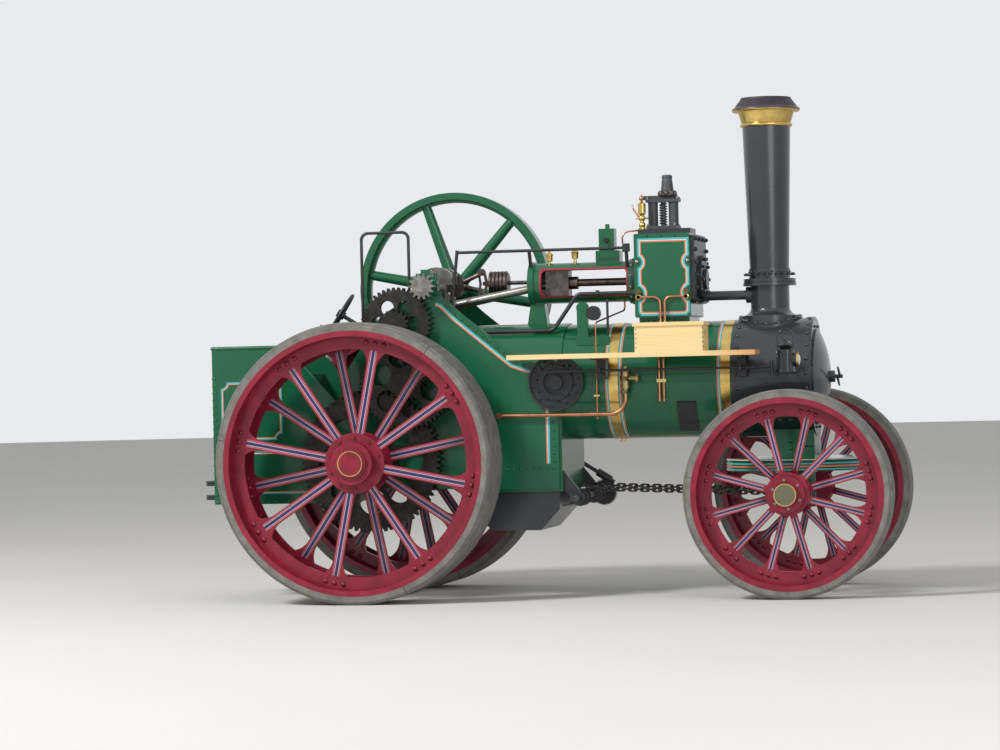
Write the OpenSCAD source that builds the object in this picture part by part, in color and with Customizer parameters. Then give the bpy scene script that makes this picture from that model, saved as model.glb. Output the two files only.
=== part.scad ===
// Steam traction engine: one cylinder over the boiler, spoked wheels on rubber, chain
// steering, and a tender with water tank and coal bunker. X points forward, Y to the
// engine's left, Z up. The origin is on the ground, midway along and across. Millimetres.

/* [Stance] */
// Rear axle to front axle
wheelbase = 3050; // [2950:10:3250]
// Rear axle back to the end of the drawbar
rear_reach = 1400; // [1350:10:1550]
// Thickness of the plates of the hornplates
horn_t = 20; // [12:1:25]

/* [Boiler] */
// Height of the boiler's axis above the ground
boiler_z = 1539; // [1500:1:1580]
// Diameter over the barrel's cladding
barrel_d = 836; // [780:2:846]
// Length of the barrel between smokebox and firebox
barrel_l = 1230; // [1180:10:1280]
// Width over the firebox, also the diameter of its round top
firebox_w = 860; // [850:2:880]
// Length of the firebox
firebox_l = 740; // [700:10:800]
// Height of the firebox's bottom ring above the ground
firebox_z = 760; // [720:5:800]
// Wall of the firebox
firebox_t = 90; // [60:5:110]
// Diameter of the firehole
firehole_d = 300; // [240:5:340]
// Height of the firehole's middle above the footplate
firehole_up = 260; // [230:5:290]
// Depth of the ashpan below the firebox
ashpan_h = 280; // [240:10:320]
// Depth of the ashpan's upright ends
ashpan_end_h = 130; // [120:5:150]
// Width of a brass boiler band
band_w = 68; // [50:1:80]
// Thickness of a brass boiler band
band_t = 4; // [2:0.5:6]

/* [Smokebox and chimney] */
// Diameter over the smokebox
smokebox_d = 850; // [846:2:880]
// Length of the smokebox
smokebox_l = 560; // [540:10:620]
// Smokebox front ahead of the front axle
smokebox_lead = 130; // [110:5:160]
// Thickness of the smokebox and chimney plates
plate_t = 12; // [8:1:16]
// Length of the thick ring round the smokebox front
front_ring_l = 60; // [40:5:80]
// Diameter of the smokebox door
door_d = 690; // [640:5:710]
// How far the dished door stands out
door_dish = 85; // [60:5:100]
// Chimney's axis ahead of the smokebox's rear end
chimney_lead = 235; // [230:5:260]
// Diameter of the chimney's bore
chimney_bore = 246; // [220:2:250]
// Height of the chimney's bolted flange above the ground
chimney_flange_z = 2225; // [2200:5:2260]
// Diameter of the bolted flange
chimney_flange_d = 383; // [360:1:400]
// Diameter of the chimney barrel at its foot
chimney_foot_d = 278; // [272:1:290]
// Diameter of the chimney barrel under the cap
chimney_head_d = 344; // [320:1:360]
// Height of the chimney's top edge above the ground
chimney_top_z = 3551; // [3450:1:3600]
// Diameter of the cap's rim
cap_rim_d = 490; // [460:2:520]

/* [Cylinder] */
// Rear face of the cylinder block ahead of the firebox
block_lead = 530; // [500:5:570]
// Length of the cylinder block
block_l = 404; // [380:2:430]
// Width of the cylinder block
block_w = 600; // [560:5:620]
// Cylinder's axis above the block's lower edge
block_drop = 270; // [256:2:280]
// Height of the block
block_h = 600; // [560:5:620]
// Height of the cylinder's axis above the ground
cylinder_z = 2260; // [2240:2:2280]
// Outer diameter of the trunk guide
guide_d = 294; // [284:2:310]
// Bore of the trunk guide
guide_bore = 250; // [240:2:256]
// Length of the trunk guide
guide_l = 769; // [740:1:800]
// Length of the openings in the sides of the guide
slot_l = 627; // [580:1:640]
// Distance of the slotted link behind the guide's rear end
link_back = 415; // [380:5:440]
// Height of the openings in the sides of the guide
slot_h = 188; // [160:2:200]

/* [Crank] */
// Crankshaft behind the firebox's rear plate
crank_back = 230; // [220:5:260]
// Height of the crankshaft's axis above the ground
crank_z = 2250; // [2240:2:2270]
// Crank radius, half the piston's stroke
crank_r = 152; // [120:1:160]
// Length of the connecting rod between its eyes
rod_l = 880; // [860:1:920]
// Diameter of the crankshaft's journals and pin
journal_d = 90; // [70:1:100]
// Diameter of the flywheel
flywheel_d = 1450; // [1380:5:1480]
// Width of the flywheel's rim
flywheel_w = 140; // [120:2:150]
// Number of flywheel spokes
flywheel_spokes = 6; // [5:1:8]

/* [Front wheels] */
// Diameter over the front tyre
front_tyre_d = 1460; // [1420:2:1500]
// Thickness of the front tyre's rubber
front_rubber = 55; // [40:1:60]
// Width of the front wheels
front_wheel_w = 230; // [200:2:240]
// Middle of one front wheel to the middle of the other
front_track = 1520; // [1500:5:1560]
// Number of spokes in a front wheel
front_spokes = 12; // [8:2:14]
// Width of a spoke of a front wheel
front_spoke_w = 52; // [40:1:60]
// Diameter of the front axle's journals
front_journal_d = 76; // [60:1:84]
// Diameter of the king pin that the front axle turns on
king_pin_d = 64; // [50:1:70]
// Diameter of the round plate between the perch bracket and the axle
perch_plate_d = 1060; // [900:10:1080]

/* [Rear wheels] */
// Diameter over the rear tyre
rear_tyre_d = 2000; // [1960:5:2040]
// Thickness of the rear tyre's rubber
rear_rubber = 60; // [40:1:70]
// Width of the rear wheels
rear_wheel_w = 450; // [420:5:470]
// Inner face of one rear wheel to the inner face of the other
rear_gap = 1280; // [1270:5:1320]
// Number of spokes in a rear wheel
rear_spokes = 16; // [12:2:20]
// Width of a spoke of a rear wheel
rear_spoke_w = 70; // [50:1:80]
// Diameter of the rear axle
rear_axle_d = 120; // [100:2:130]

/* [Tender] */
// Width over the tender
tender_w = 900; // [860:5:910]
// Length of the tender
tender_l = 1030; // [1000:10:1080]
// Length of the coal bunker
bunker_l = 600; // [560:10:640]
// Height of the footplate above the ground
footplate_z = 1150; // [1130:5:1180]
// Height of the tank's bottom above the ground
tank_z = 700; // [660:5:740]
// Height of the bunker's top edge above the ground
bunker_z = 1840; // [1780:5:1880]
// Thickness of the tender's sheets
sheet_t = 10; // [6:1:14]
// Diameter of the hole for the drawbar pin
drawbar_pin_d = 40; // [32:1:48]

/* [Fittings] */
// Height of the plank's top above the ground
plank_z = 1740; // [1720:2:1760]
// Thickness of the plank
plank_t = 35; // [25:1:45]
// Width of the plank
plank_w = 280; // [240:5:300]
// Length of the plank
plank_l = 1768; // [1700:4:1800]
// Length of the tool box
box_l = 482; // [440:2:520]
// Height of the tool box with its lid
box_h = 207; // [180:1:230]
// Thickness of the tool box's boards
board_t = 18; // [12:1:24]
// Diameter of the round cover on the firebox's side
cover_d = 400; // [360:5:410]

/* [Hidden] */
$fn = 48;

run_fit = 0.05;  // radial clearance of a shaft in its bore
seat = 0.3;      // gap where a moving piece lies against a fixed one

// Stations along the engine, front to rear
axle_x = (wheelbase + rear_reach - front_tyre_d / 2) / 2;
rear_x = axle_x - wheelbase;
smoke_x1 = axle_x + smokebox_lead;
smoke_x0 = smoke_x1 - smokebox_l;
fire_x1 = smoke_x0 - barrel_l;
fire_x0 = fire_x1 - firebox_l;
chimney_x = smoke_x0 + chimney_lead;
block_x0 = fire_x1 + block_lead;
block_x1 = block_x0 + block_l;
block_z = cylinder_z - block_drop;
flange_t = 46;   // rear cylinder cover, which carries the guide
guide_x1 = block_x0 - flange_t;
guide_x0 = guide_x1 - guide_l;
crank_x = fire_x0 - crank_back;

// Heights
front_z = front_tyre_d / 2;
rear_z = rear_tyre_d / 2;
smoke_r = smokebox_d / 2;
smoke_top = boiler_z + smoke_r;
barrel_r = barrel_d / 2;
horn_y = firebox_w / 2 + horn_t;   // outer faces of the hornplates

// Crank at the bottom of its turn, and the crosshead where the rod puts it
pin_z = crank_z - crank_r;
cross_x = crank_x + sqrt(rod_l * rod_l - pow(cylinder_z - pin_z, 2));

// Shapes used by several pieces
function unit(v) = v / norm(v);
function turned(r, a) = [r * cos(a), r * sin(a)];

module rod(a, b, r1, r2 = undef) {
  d = b - a;
  translate(a) rotate([0, acos(d[2] / norm(d)), atan2(d[1], d[0])])
    cylinder(h = norm(d), r1 = r1, r2 = r2 == undef ? r1 : r2);
}
module along_x(x0, x1, r, r2 = undef) rod([x0, 0, 0], [x1, 0, 0], r, r2);
module along_y(y0, y1, r, r2 = undef) rod([0, y0, 0], [0, y1, 0], r, r2);
module at_boiler() translate([0, 0, boiler_z]) children();
// Flat shape drawn in X and Z, thick from y0 to y1
module across(y0, y1) translate([0, y1, 0]) rotate([90, 0, 0])
  linear_extrude(y1 - y0) children();
// Block between two corners
module block(a, b) translate(a) cube(b - a);
module both_sides() { children(); mirror([0, 1, 0]) children(); }
// Revolve about the Y axis; the profile's second axis points to -Y
module revolve_y() rotate([90, 0, 0]) rotate_extrude() children();
module round_rect(x0, z0, x1, z1, r) {
  translate([x0 + r, z0]) square([x1 - x0 - 2 * r, z1 - z0]);
  translate([x0, z0 + r]) square([x1 - x0, z1 - z0 - 2 * r]);
  for (x = [x0 + r, x1 - r], z = [z0 + r, z1 - r]) translate([x, z]) circle(r);
}
// Flat link with two round ends, from p to q
module stadium(p, q, r1, r2) {
  d = q - p; l = norm(d); a = atan2(d[1], d[0]);
  k = asin((r1 - r2) / l);
  n = r1 == r2 ? 1 : 0.999;        // sides just inside the circles that they touch
  translate(p) circle(r1);
  translate(q) circle(r2);
  polygon([p + turned(n * r1, a + 90 - k), p + turned(n * r1, a - 90 + k),
           q + turned(n * r2, a - 90 + k), q + turned(n * r2, a + 90 - k)]);
}

// Pipe through the points, with an elbow of radius b at each corner. The elbows are a
// little thicker than the pipe, whose straight lengths reach into them.
elbow_t = 0.6;
function turn_at(p, i) = acos(unit(p[i] - p[i - 1]) * unit(p[i + 1] - p[i]));
function cut_at(p, i, b) = i == 0 || i == len(p) - 1 ? 0 : b * tan(turn_at(p, i) / 2);
module pipe(p, r, b) {
  for (i = [0 : len(p) - 2]) {
    u = unit(p[i + 1] - p[i]);
    rod(p[i] + u * max(cut_at(p, i, b) - 2, 0),
      p[i + 1] - u * max(cut_at(p, i + 1, b) - 2, 0), r);
  }
  for (i = [1 : 1 : len(p) - 2]) {
    u = unit(p[i] - p[i - 1]);
    v = unit(p[i + 1] - p[i]);
    n = unit(v - (v * u) * u);
    s = p[i] - u * cut_at(p, i, b);
    c = s + n * b;
    w = cross(-n, u);
    multmatrix([[-n[0], u[0], w[0], c[0]], [-n[1], u[1], w[1], c[1]],
                [-n[2], u[2], w[2], c[2]], [0, 0, 0, 1]])
      rotate_extrude(angle = turn_at(p, i)) translate([b, 0]) circle(r + elbow_t);
  }
}

// Spur gear outline with a tooth on the X axis
module gear_outline(teeth, r) {
  m = 2 * r / teeth;
  p = 360 / teeth;
  polygon([for (i = [0 : teeth - 1], c = [[-0.36, -1.15], [-0.13, 0.9], [0.13, 0.9],
    [0.36, -1.15]]) turned(r + c[1] * m, (i + c[0]) * p)]);
}

// Boiler, smokebox and chimney
module boiler_barrel() color("darkgreen") at_boiler() {
  along_x(fire_x1, smoke_x0, barrel_r);
  // plate that hugs the right side, low down
  intersection() {
    along_x(block_x1 - 104, block_x1 + 36, barrel_r + 8);
    block([fire_x1, -barrel_r - 20, -360], [smoke_x0, -200, -160]);
  }
}

module boiler_bands() color("gold") at_boiler()
  for (x = [smoke_x0 - 12 - band_w, block_x0 - 184])
    difference() {
      along_x(x, x + band_w, barrel_r + band_t);
      along_x(x - 1, x + band_w + 1, barrel_r);
    }

hinge_y = door_d / 2 + 30;     // smokebox door's hinge pin
hinge_x = smoke_x1 + 30;
knuckle_z = [-120, 120];       // heights of the door's two hinges about the boiler's axis
hinge_pin_r = 9;

module smokebox() color("dimgray") {
  at_boiler() difference() {
    union() {
      along_x(smoke_x0, smoke_x1, smoke_r);
      along_x(smoke_x1 - front_ring_l, smoke_x1 - 4, smoke_r + 6);
    }
    along_x(smoke_x0 + plate_t, smoke_x1 - plate_t, smoke_r - plate_t);
    along_x(smoke_x1 - plate_t - 1, smoke_x1 + 1, door_d / 2 - 30);
    translate([chimney_x, 0, 0]) cylinder(h = smoke_r + 20, r = chimney_bore / 2);
  }
  // lugs and pin of the door's hinges
  at_boiler() translate([hinge_x, hinge_y, 0]) {
    for (z = knuckle_z, s = [-1, 1]) translate([0, 0, z + s * 27]) {
      translate([0, 0, -9]) cylinder(h = 18, r = 18);
      block([smoke_x1 - hinge_x, -12, -9], [0, 12, 9]);
    }
    translate([0, 0, knuckle_z[0] - 44]) cylinder(h = 328, r = hinge_pin_r);
  }
}

module smokebox_door() color("dimgray") at_boiler() {
  r = door_d / 2;
  ball = (r * r + door_dish * door_dish) / (2 * door_dish);
  x = smoke_x1 + seat;
  difference() {
    union() {
      // dished plate with a flat rim
      translate([x, 0, 0]) rotate([0, 90, 0]) rotate_extrude() {
        intersection() {
          difference() {
            translate([0, 14 + door_dish - ball]) circle(ball);
            translate([0, 14 + door_dish - ball]) circle(ball - plate_t);
          }
          square([r, 200]);
        }
        translate([r - 50, 0]) square([50, 14]);
      }
      // boss, spindle and the two handles
      along_x(x + door_dish - 4, x + door_dish + 45, 42);
      along_x(x + door_dish + 45, x + door_dish + 100, 14);
      for (h = [[60, 25], [80, 205]])   // distance from the door's rim, angle
        rod([x + door_dish + h[0], 0, 0], [x + door_dish + h[0], 150 * cos(h[1]),
          -150 * sin(h[1])], 10, 7);
      // straps to the hinge pin
      for (z = knuckle_z) {
        block([x + 5, r - 120, z - 17], [hinge_x + 9, hinge_y, z + 17]);
        translate([hinge_x, hinge_y, z - 17.5]) cylinder(h = 35, r = 18);
      }
    }
    for (z = knuckle_z) translate([hinge_x, hinge_y, z - 30])
      cylinder(h = 60, r = hinge_pin_r + run_fit);
  }
}

cap_z = chimney_top_z - 211;   // foot of the cap
chimney_base_r = 140;
saddle_r = chimney_lead - 5;
module chimney() color("dimgray") translate([chimney_x, 0, 0]) difference() {
  union() {
    // saddle plate that follows the smokebox, and the flare on it
    intersection() {
      at_boiler() along_x(-260, 260, smoke_r + 14);
      translate([0, 0, boiler_z + smoke_r / 2]) cylinder(h = smoke_r, r = saddle_r);
    }
    translate([0, 0, smoke_top - 60]) rotate_extrude() difference() {
      square([200, 150]);
      translate([200 + 5, 150]) circle(68);
    }
    translate([0, 0, smoke_top]) cylinder(h = chimney_flange_z - smoke_top,
      r = chimney_base_r);
    translate([0, 0, chimney_flange_z - 25]) cylinder(h = 23, d = chimney_flange_d);
    translate([0, 0, chimney_flange_z + 2]) cylinder(h = 23, d = chimney_flange_d - 8);
    translate([0, 0, chimney_flange_z - 3]) cylinder(h = 6, d = chimney_flange_d - 30);
    // riveted collar and the barrel, which widens upwards
    translate([0, 0, chimney_flange_z + 20]) cylinder(h = 80, d = chimney_foot_d + 18);
    translate([0, 0, chimney_flange_z + 20]) cylinder(h = cap_z - chimney_flange_z - 20,
      d1 = chimney_foot_d, d2 = chimney_head_d);
  }
  at_boiler() along_x(-300, 300, smoke_r);
  cylinder(h = chimney_top_z, d = chimney_bore);
}

module chimney_cap() color("gold") translate([chimney_x, 0, cap_z]) difference() {
  h = chimney_top_z - cap_z;
  r = chimney_head_d / 2;
  rotate_extrude() {
    square([r + 4, h - 2]);
    translate([r + 2, 14]) circle(14);
    translate([0, 28]) polygon([[0, 0], [r + 6, 0], [r + 30, 82], [0, 82]]);
    translate([0, 110]) polygon([[0, 0], [cap_rim_d / 2 - 14, 0],
      [cap_rim_d / 2 - 14, 28], [r + 14, h - 124], [r + 8, h - 110], [0, h - 110]]);
    translate([cap_rim_d / 2 - 14, 124]) circle(14);
  }
  translate([0, 0, -1]) cylinder(h = h + 2, d = chimney_bore + 40);
}

module firebox() color("darkgreen") difference() {
  union() {
    at_boiler() along_x(fire_x0, fire_x1, firebox_w / 2);
    block([fire_x0, -firebox_w / 2, firebox_z], [fire_x1, firebox_w / 2, boiler_z]);
  }
  t = firebox_t;
  block([fire_x0 + t, t - firebox_w / 2, firebox_z + 20],
        [fire_x1 - t, firebox_w / 2 - t, boiler_z + 150]);
  translate([0, 0, firehole_z]) along_x(fire_x0 - 1, fire_x0 + t + 1, firehole_d / 2);
}
firehole_z = footplate_z + firehole_up;

module ashpan() color("dimgray") difference() {
  translate([fire_x0, 0, 0]) across(-firebox_w / 2 + 70, firebox_w / 2 - 70)
    polygon([[60, firebox_z], [firebox_l - 40, firebox_z],
      [firebox_l - 40, firebox_z - ashpan_end_h], [firebox_l - 180, firebox_z - ashpan_h],
      [200, firebox_z - ashpan_h], [60, firebox_z - ashpan_end_h]]);
  // damper opening at the front
  block([fire_x1 - 60, -260, firebox_z - 115], [fire_x1, 260, firebox_z - 25]);
}

// Hornplates, crankshaft and flywheel
pad_l = 210;     // foot of a crank bearing
pad_z = crank_z - 62;
second_x = crank_x - 210;
second_z = crank_z - 262;
third_x = rear_x + 284;
third_z = rear_z + 563;
horn_x1 = fire_x1 - 20;
horn_x0 = rear_x - 240;

module horn_outline() difference() {
  union() {
    polygon([[horn_x1, firebox_z + 20], [horn_x1, boiler_z + 40],
      [horn_x1 - 60, boiler_z + 110], [fire_x0 + 420, boiler_z + 190],
      [crank_x + pad_l / 2 + 120, pad_z - 110], [crank_x + pad_l / 2, pad_z],
      [crank_x - pad_l / 2, pad_z], [second_x - 130, second_z + 60],
      [horn_x0 + 60, boiler_z + 120], [horn_x0, boiler_z],
      [horn_x0, rear_z - 120], [horn_x0 + 100, rear_z - 200],
      [rear_x + 260, rear_z - 200], [fire_x0 + 120, firebox_z + 20]]);
  }
  translate([rear_x, rear_z]) circle(rear_axle_d / 2 + seat);
  translate([third_x, third_z]) circle(32);
  translate([second_x, second_z]) circle(32);
}

module hornplates() color("darkgreen") difference() {
  both_sides() across(firebox_w / 2, horn_y) horn_outline();
  rod(worm_at, wheel_at, 34);   // slot for the steering shaft
}

bearing_w = 76;
bearing_y = horn_y - 24;       // middle of a crank bearing
module crank_bearings() color("darkgreen") translate([crank_x, 0, 0]) both_sides() {
  difference() {
    union() {
      across(bearing_y - bearing_w / 2, bearing_y + bearing_w / 2) {
        translate([-pad_l / 2, pad_z]) square([pad_l, 26]);
        intersection() {
          translate([0, crank_z]) circle(88);
          translate([-88, pad_z]) square([176, 200]);
        }
        translate([-88, pad_z]) square([176, crank_z - pad_z]);
      }
      // cap nuts and the oil box
      for (x = [-66, 66]) translate([x, bearing_y, crank_z])
        cylinder(h = 98, r = 13);
      block([-36, bearing_y - 26, crank_z + 60], [36, bearing_y + 26, crank_z + 124]);
    }
    translate([0, 0, crank_z]) along_y(0, 600, journal_d / 2 + run_fit);
  }
}

fly_y0 = horn_y + 27;          // inner face of the flywheel's rim
web_y = 62;                    // inner faces of the crank's webs
web_t = 56;
rod_w = 104;                   // width of the connecting rod's big end
module crankshaft() color("silver") translate([crank_x, 0, crank_z]) {
  along_y(-horn_y - 165, -web_y - 1, journal_d / 2);
  along_y(web_y + 1, fly_y0 + flywheel_w + 24, journal_d / 2);
  // the crank pin's two ends; its middle stays in the connecting rod's eye
  translate([0, 0, -crank_r]) both_sides() along_y(-web_y - 1, -rod_w / 2 - 1,
    journal_d / 2);
  both_sides() across(web_y, web_y + web_t) {
    stadium([0, 0], [0, -crank_r], 68, 62);
    // balance weight
    intersection() { circle(150); translate([-110, 20]) square([220, 160]); }
  }
  // sliding pinion, out of gear
  across(-horn_y - 150, -horn_y - 80) gear_outline(14, pair_r(crank_gap, 14, 42));
}

module flywheel() color("seagreen") translate([crank_x, fly_y0 + flywheel_w / 2, crank_z]) {
  r = flywheel_d / 2;
  difference() {
    union() {
      revolve_y() {
        translate([r - 50, -flywheel_w / 2]) square([50, flywheel_w]);
        translate([r - 74, -22]) square([40, 44]);
        translate([0, -flywheel_w / 2 - 6]) square([92, flywheel_w + 12]);
      }
      // curved spokes, oval like the real ones
      for (i = [0 : flywheel_spokes - 1]) rotate([0, 11 - i * 360 / flywheel_spokes, 0])
        rod([60, 0, 0], [r - 60, 0, 0], 46, 36);
    }
    along_y(-200, 200, journal_d / 2);
  }
}

// Gears between crankshaft and rear axle, right side
crank_gap = norm([crank_x - second_x, crank_z - second_z]);
second_gap = norm([second_x - third_x, second_z - third_z]);
third_gap = norm([third_x - rear_x, third_z - rear_z]);
function pair_r(gap, n, other) = gap * n / (n + other);

module gearing() color("slategray") {
  down = atan2(third_z - second_z, third_x - second_x);
  last = atan2(rear_z - third_z, rear_x - third_x);
  y0 = -horn_y - 20;
  // second shaft: wheel that the crank's pinion can slide into, and a pinion
  translate([second_x, 0, second_z]) {
    along_y(-horn_y - 125, horn_y + 8, 32 - run_fit);
    across(y0 - 50, y0) difference() {
      gear_outline(42, pair_r(crank_gap, 42, 14));
      for (a = [0 : 60 : 300]) rotate(a) translate([132, 0]) circle(52);
    }
    across(y0 - 105, y0 - 55) rotate(down) gear_outline(16, pair_r(second_gap, 16, 56));
  }
  // third shaft
  translate([third_x, 0, third_z]) {
    along_y(-horn_y - 125, horn_y + 8, 32 - run_fit);
    across(y0 - 105, y0 - 55) rotate(down + 180 + 180 / 56) difference() {
      gear_outline(56, pair_r(second_gap, 56, 16));
      for (a = [0 : 60 : 300]) rotate(a) translate([190, 0]) circle(78);
    }
    across(y0 - 50, y0) rotate(last) gear_outline(18, pair_r(third_gap, 18, 72));
  }
  // driving wheel on the rear axle
  translate([rear_x, 0, rear_z]) across(y0 - 50, y0) difference() {
    rotate(last + 180 + 180 / 72) gear_outline(72, pair_r(third_gap, 72, 18));
    circle(rear_axle_d / 2);
    for (a = [0 : 45 : 315]) rotate(a) translate([290, 0]) circle(98);
  }
}

// Cylinder and motion
module cylinder_block() color("darkgreen") difference() {
  union() {
    across(-block_w / 2, block_w / 2)
      round_rect(block_x0, block_z, block_x1, block_z + block_h, 12);
    // saddle down to the barrel
    block([block_x0 + 20, -block_w / 2 + 60, boiler_z], [block_x1 - 20,
      block_w / 2 - 60, block_z + 40]);
    // round rear end of the cylinder
    translate([0, 0, cylinder_z]) along_x(block_x0 - 6, block_x0 + 40, 205);
    // valve chest on the left side
    block([block_x0 + 60, 0, cylinder_z - 120], [block_x1 - 60, block_w / 2 + 60,
      cylinder_z + 140]);
    // valve seat on top
    block([block_x0 + 4, -130, block_z + block_h - 5], [block_x1 - 18, 130,
      block_z + block_h + 40]);
  }
  at_boiler() along_x(fire_x1, smoke_x0, barrel_r);
}

module cylinder_covers() color("dimgray") {
  // end plate over the whole front of the block
  translate([block_x1, 0, 0]) rotate([90, 0, 90]) linear_extrude(32)
    round_rect(16 - block_w / 2, block_z + 96, block_w / 2 - 16, block_z + block_h - 14, 40);
  translate([0, 0, cylinder_z]) {
    along_x(block_x1 + 30, block_x1 + 60, 172);
    along_x(block_x1 + 60, block_x1 + 82, 74);
    // studs round the front cover
    for (i = [0 : 9]) rotate([i * 36, 0, 0]) translate([0, 152, 0])
      along_x(block_x1 + 55, block_x1 + 80, 12);
    // rear cover, which holds the guide
    difference() {
      along_x(guide_x1, block_x0 - 6, 175);
      along_x(guide_x1 - 1, block_x0, 28);
    }
    // valve chest cover
    translate([(block_x0 + block_x1) / 2, 0, 10]) block([-125, block_w / 2 + 60, -120],
      [125, block_w / 2 + 84, 120]);
  }
}

top_z = block_z + block_h + 40;   // face that carries the safety valves
module safety_valves() color("dimgray") translate([block_x0 + 173, 0, top_z]) {
  block([-110, -110, 0], [110, 110, 22]);
  // two valve columns and the spring's core between them
  for (x = [-75, 75]) translate([x, 0, 20]) cylinder(h = 178, r = 36);
  cylinder(h = 200, r = 18);
  block([-122, -52, 196], [122, 52, 218]);
  block([-160, -24, 216], [106, 24, 244]);
  // cover over the nearer valve
  translate([32, 0, 242]) cylinder(h = 16, r = 58);
  translate([32, 0, 256]) cylinder(h = 112, r1 = 50, r2 = 36);
}

module whistle() color("gold") translate([block_x0 + 32, -100, top_z]) {
  cylinder(h = 14, r = 24);
  cylinder(h = 110, r = 12);
  translate([0, 0, 32]) sphere(24);
  translate([0, 0, 80]) sphere(24);
  translate([0, 0, 80]) along_x(-44, 44, 7);
  translate([0, 0, 100]) cylinder(h = 14, r1 = 15, r2 = 31);
  translate([0, 0, 118]) cylinder(h = 66, r = 28);
  cylinder(h = 190, r = 6);
  translate([0, 0, 184]) cylinder(h = 14, r1 = 28, r2 = 10);
}

module trunk_guide() color("seagreen") {
  translate([0, 0, cylinder_z]) difference() {
    union() {
      along_x(guide_x0, guide_x1, guide_d / 2);
      along_x(guide_x0, guide_x0 + 42, guide_d / 2 + 12);
      along_x(guide_x1 - 30, guide_x1, guide_d / 2 + 16);
      // lubricator on the guide's front end
      block([guide_x1 - 274, -70, guide_d / 2 - 20], [guide_x1 - 99, 70, 226]);
      block([guide_x1 - 252, -52, 225], [guide_x1 - 138, 52, 386]);
      translate([guide_x1 - 195, 0, 380]) cylinder(h = 40, r = 16);
      translate([guide_x1 - 195, 0, 300]) along_y(-84, -50, 18);
    }
    along_x(guide_x0 - 1, guide_x1 + 1, guide_bore / 2);
    across(-guide_d, guide_d) round_rect(guide_x0 + 100, -slot_h / 2,
      guide_x0 + 100 + slot_l, slot_h / 2, 40);
  }
  // leg from the firebox's top to the rear end of the guide
  difference() {
    across(-50, 50) polygon([[guide_x0 + 10, cylinder_z - guide_d / 2 + 40],
      [guide_x0 + 100, cylinder_z - guide_d / 2 + 40], [guide_x0 + 130, boiler_z + 380],
      [guide_x0 - 30, boiler_z + 380]]);
    translate([0, 0, cylinder_z]) along_x(guide_x0 - 10, guide_x1, guide_d / 2 - 5);
    at_boiler() along_x(fire_x0, fire_x1, firebox_w / 2);
  }
}

module crosshead() color("silver") translate([0, 0, cylinder_z]) {
  difference() {
    union() {
      // shoes that bear on the guide's bore
      intersection() {
        along_x(cross_x - 60, cross_x + 110, guide_bore / 2 - seat);
        block([cross_x - 200, -70, -200], [cross_x + 200, 70, 200]);
      }
      along_x(cross_x + 60, cross_x + 170, 46);
      // piston rod
      along_x(cross_x + 100, block_x0 - 6, 27);
    }
    // fork round the small end
    block([cross_x - 70, -32, -72], [cross_x + 62, 32, 72]);
    translate([cross_x, 0, 0]) along_y(-80, 80, 30);
  }
  translate([cross_x, 0, 0]) along_y(-78, 78, 30 - run_fit);
}

module connecting_rod() color("silver") difference() {
  small = [cross_x, 0, cylinder_z];
  big = [crank_x, 0, pin_z];
  union() {
    across(-30, 30) translate([small[0], small[2]]) circle(58);
    rod(small - unit(small - big) * 50, big + unit(small - big) * 90, 27, 38);
    // big end: strap, brasses and the cotter
    translate(big) rotate([0, -atan2(small[2] - big[2], small[0] - big[0]), 0]) {
      across(-rod_w / 2, rod_w / 2) round_rect(-92, -88, 118, 88, 30);
      translate([84, 0, 0]) cylinder(h = 210, r = 16, center = true);
    }
  }
  translate(small) along_y(-60, 60, 30);
}

module valve_gear() color("silver") {
  rod_y = 230;                     // valve rod, clear of the cylinder's round end
  link = [guide_x0 - link_back, rod_y - 12, cylinder_z + 20];
  // two eccentrics, their straps and rods
  for (e = [[140, 30, 70], [258, -30, -60]]) {   // inner face, throw, rod end's height
    difference() {
      union() {
        translate([crank_x + e[1], 0, crank_z + 20]) across(e[0], e[0] + 45) circle(118);
        rod([crank_x + 90, e[0] + 22, crank_z + 20], [link[0], e[0] + 22, link[2] + e[2]],
          20, 16);
      }
      translate([crank_x, 0, crank_z]) along_y(0, horn_y, journal_d / 2 + 5);
    }
    translate([link[0], 0, link[2] + e[2]]) along_y(min(e[0], 200), max(e[0] + 45, 240), 13);
  }
  // slotted link, and the valve rod to the chest, through its gland
  translate(link) across(-12, 12) difference() {
    union() { stadium([0, -80], [14, 0], 30, 32); stadium([14, 0], [0, 80], 32, 30); }
    stadium([0, -70], [12, 0], 14, 14.5);
    stadium([12, 0], [0, 70], 14.5, 14);
  }
  translate([0, rod_y, link[2]]) {
    along_x(link[0] + 6, block_x0, 15);
    along_x(block_x0 - 44, block_x0, 24);
    // ribbed drum on the rod
    along_x(link[0] + 58, link[0] + 200, 72);
    for (i = [0 : 4]) along_x(link[0] + 62 + i * 28, link[0] + 78 + i * 28, 88);
  }
}

// Pipes and rods
exhaust_z = cylinder_z - 122;
module exhaust_pipe() color("dimgray") translate([0, 0, exhaust_z]) difference() {
  union() {
    along_x(block_x1 + 60, chimney_x, 34);
    along_x(block_x1 + 60, block_x1 + 84, 40);
    along_x(chimney_x - 170, chimney_x, 58);
  }
  translate([chimney_x, 0, -chimney_base_r]) cylinder(h = 2 * chimney_base_r, r = chimney_base_r);
}

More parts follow.
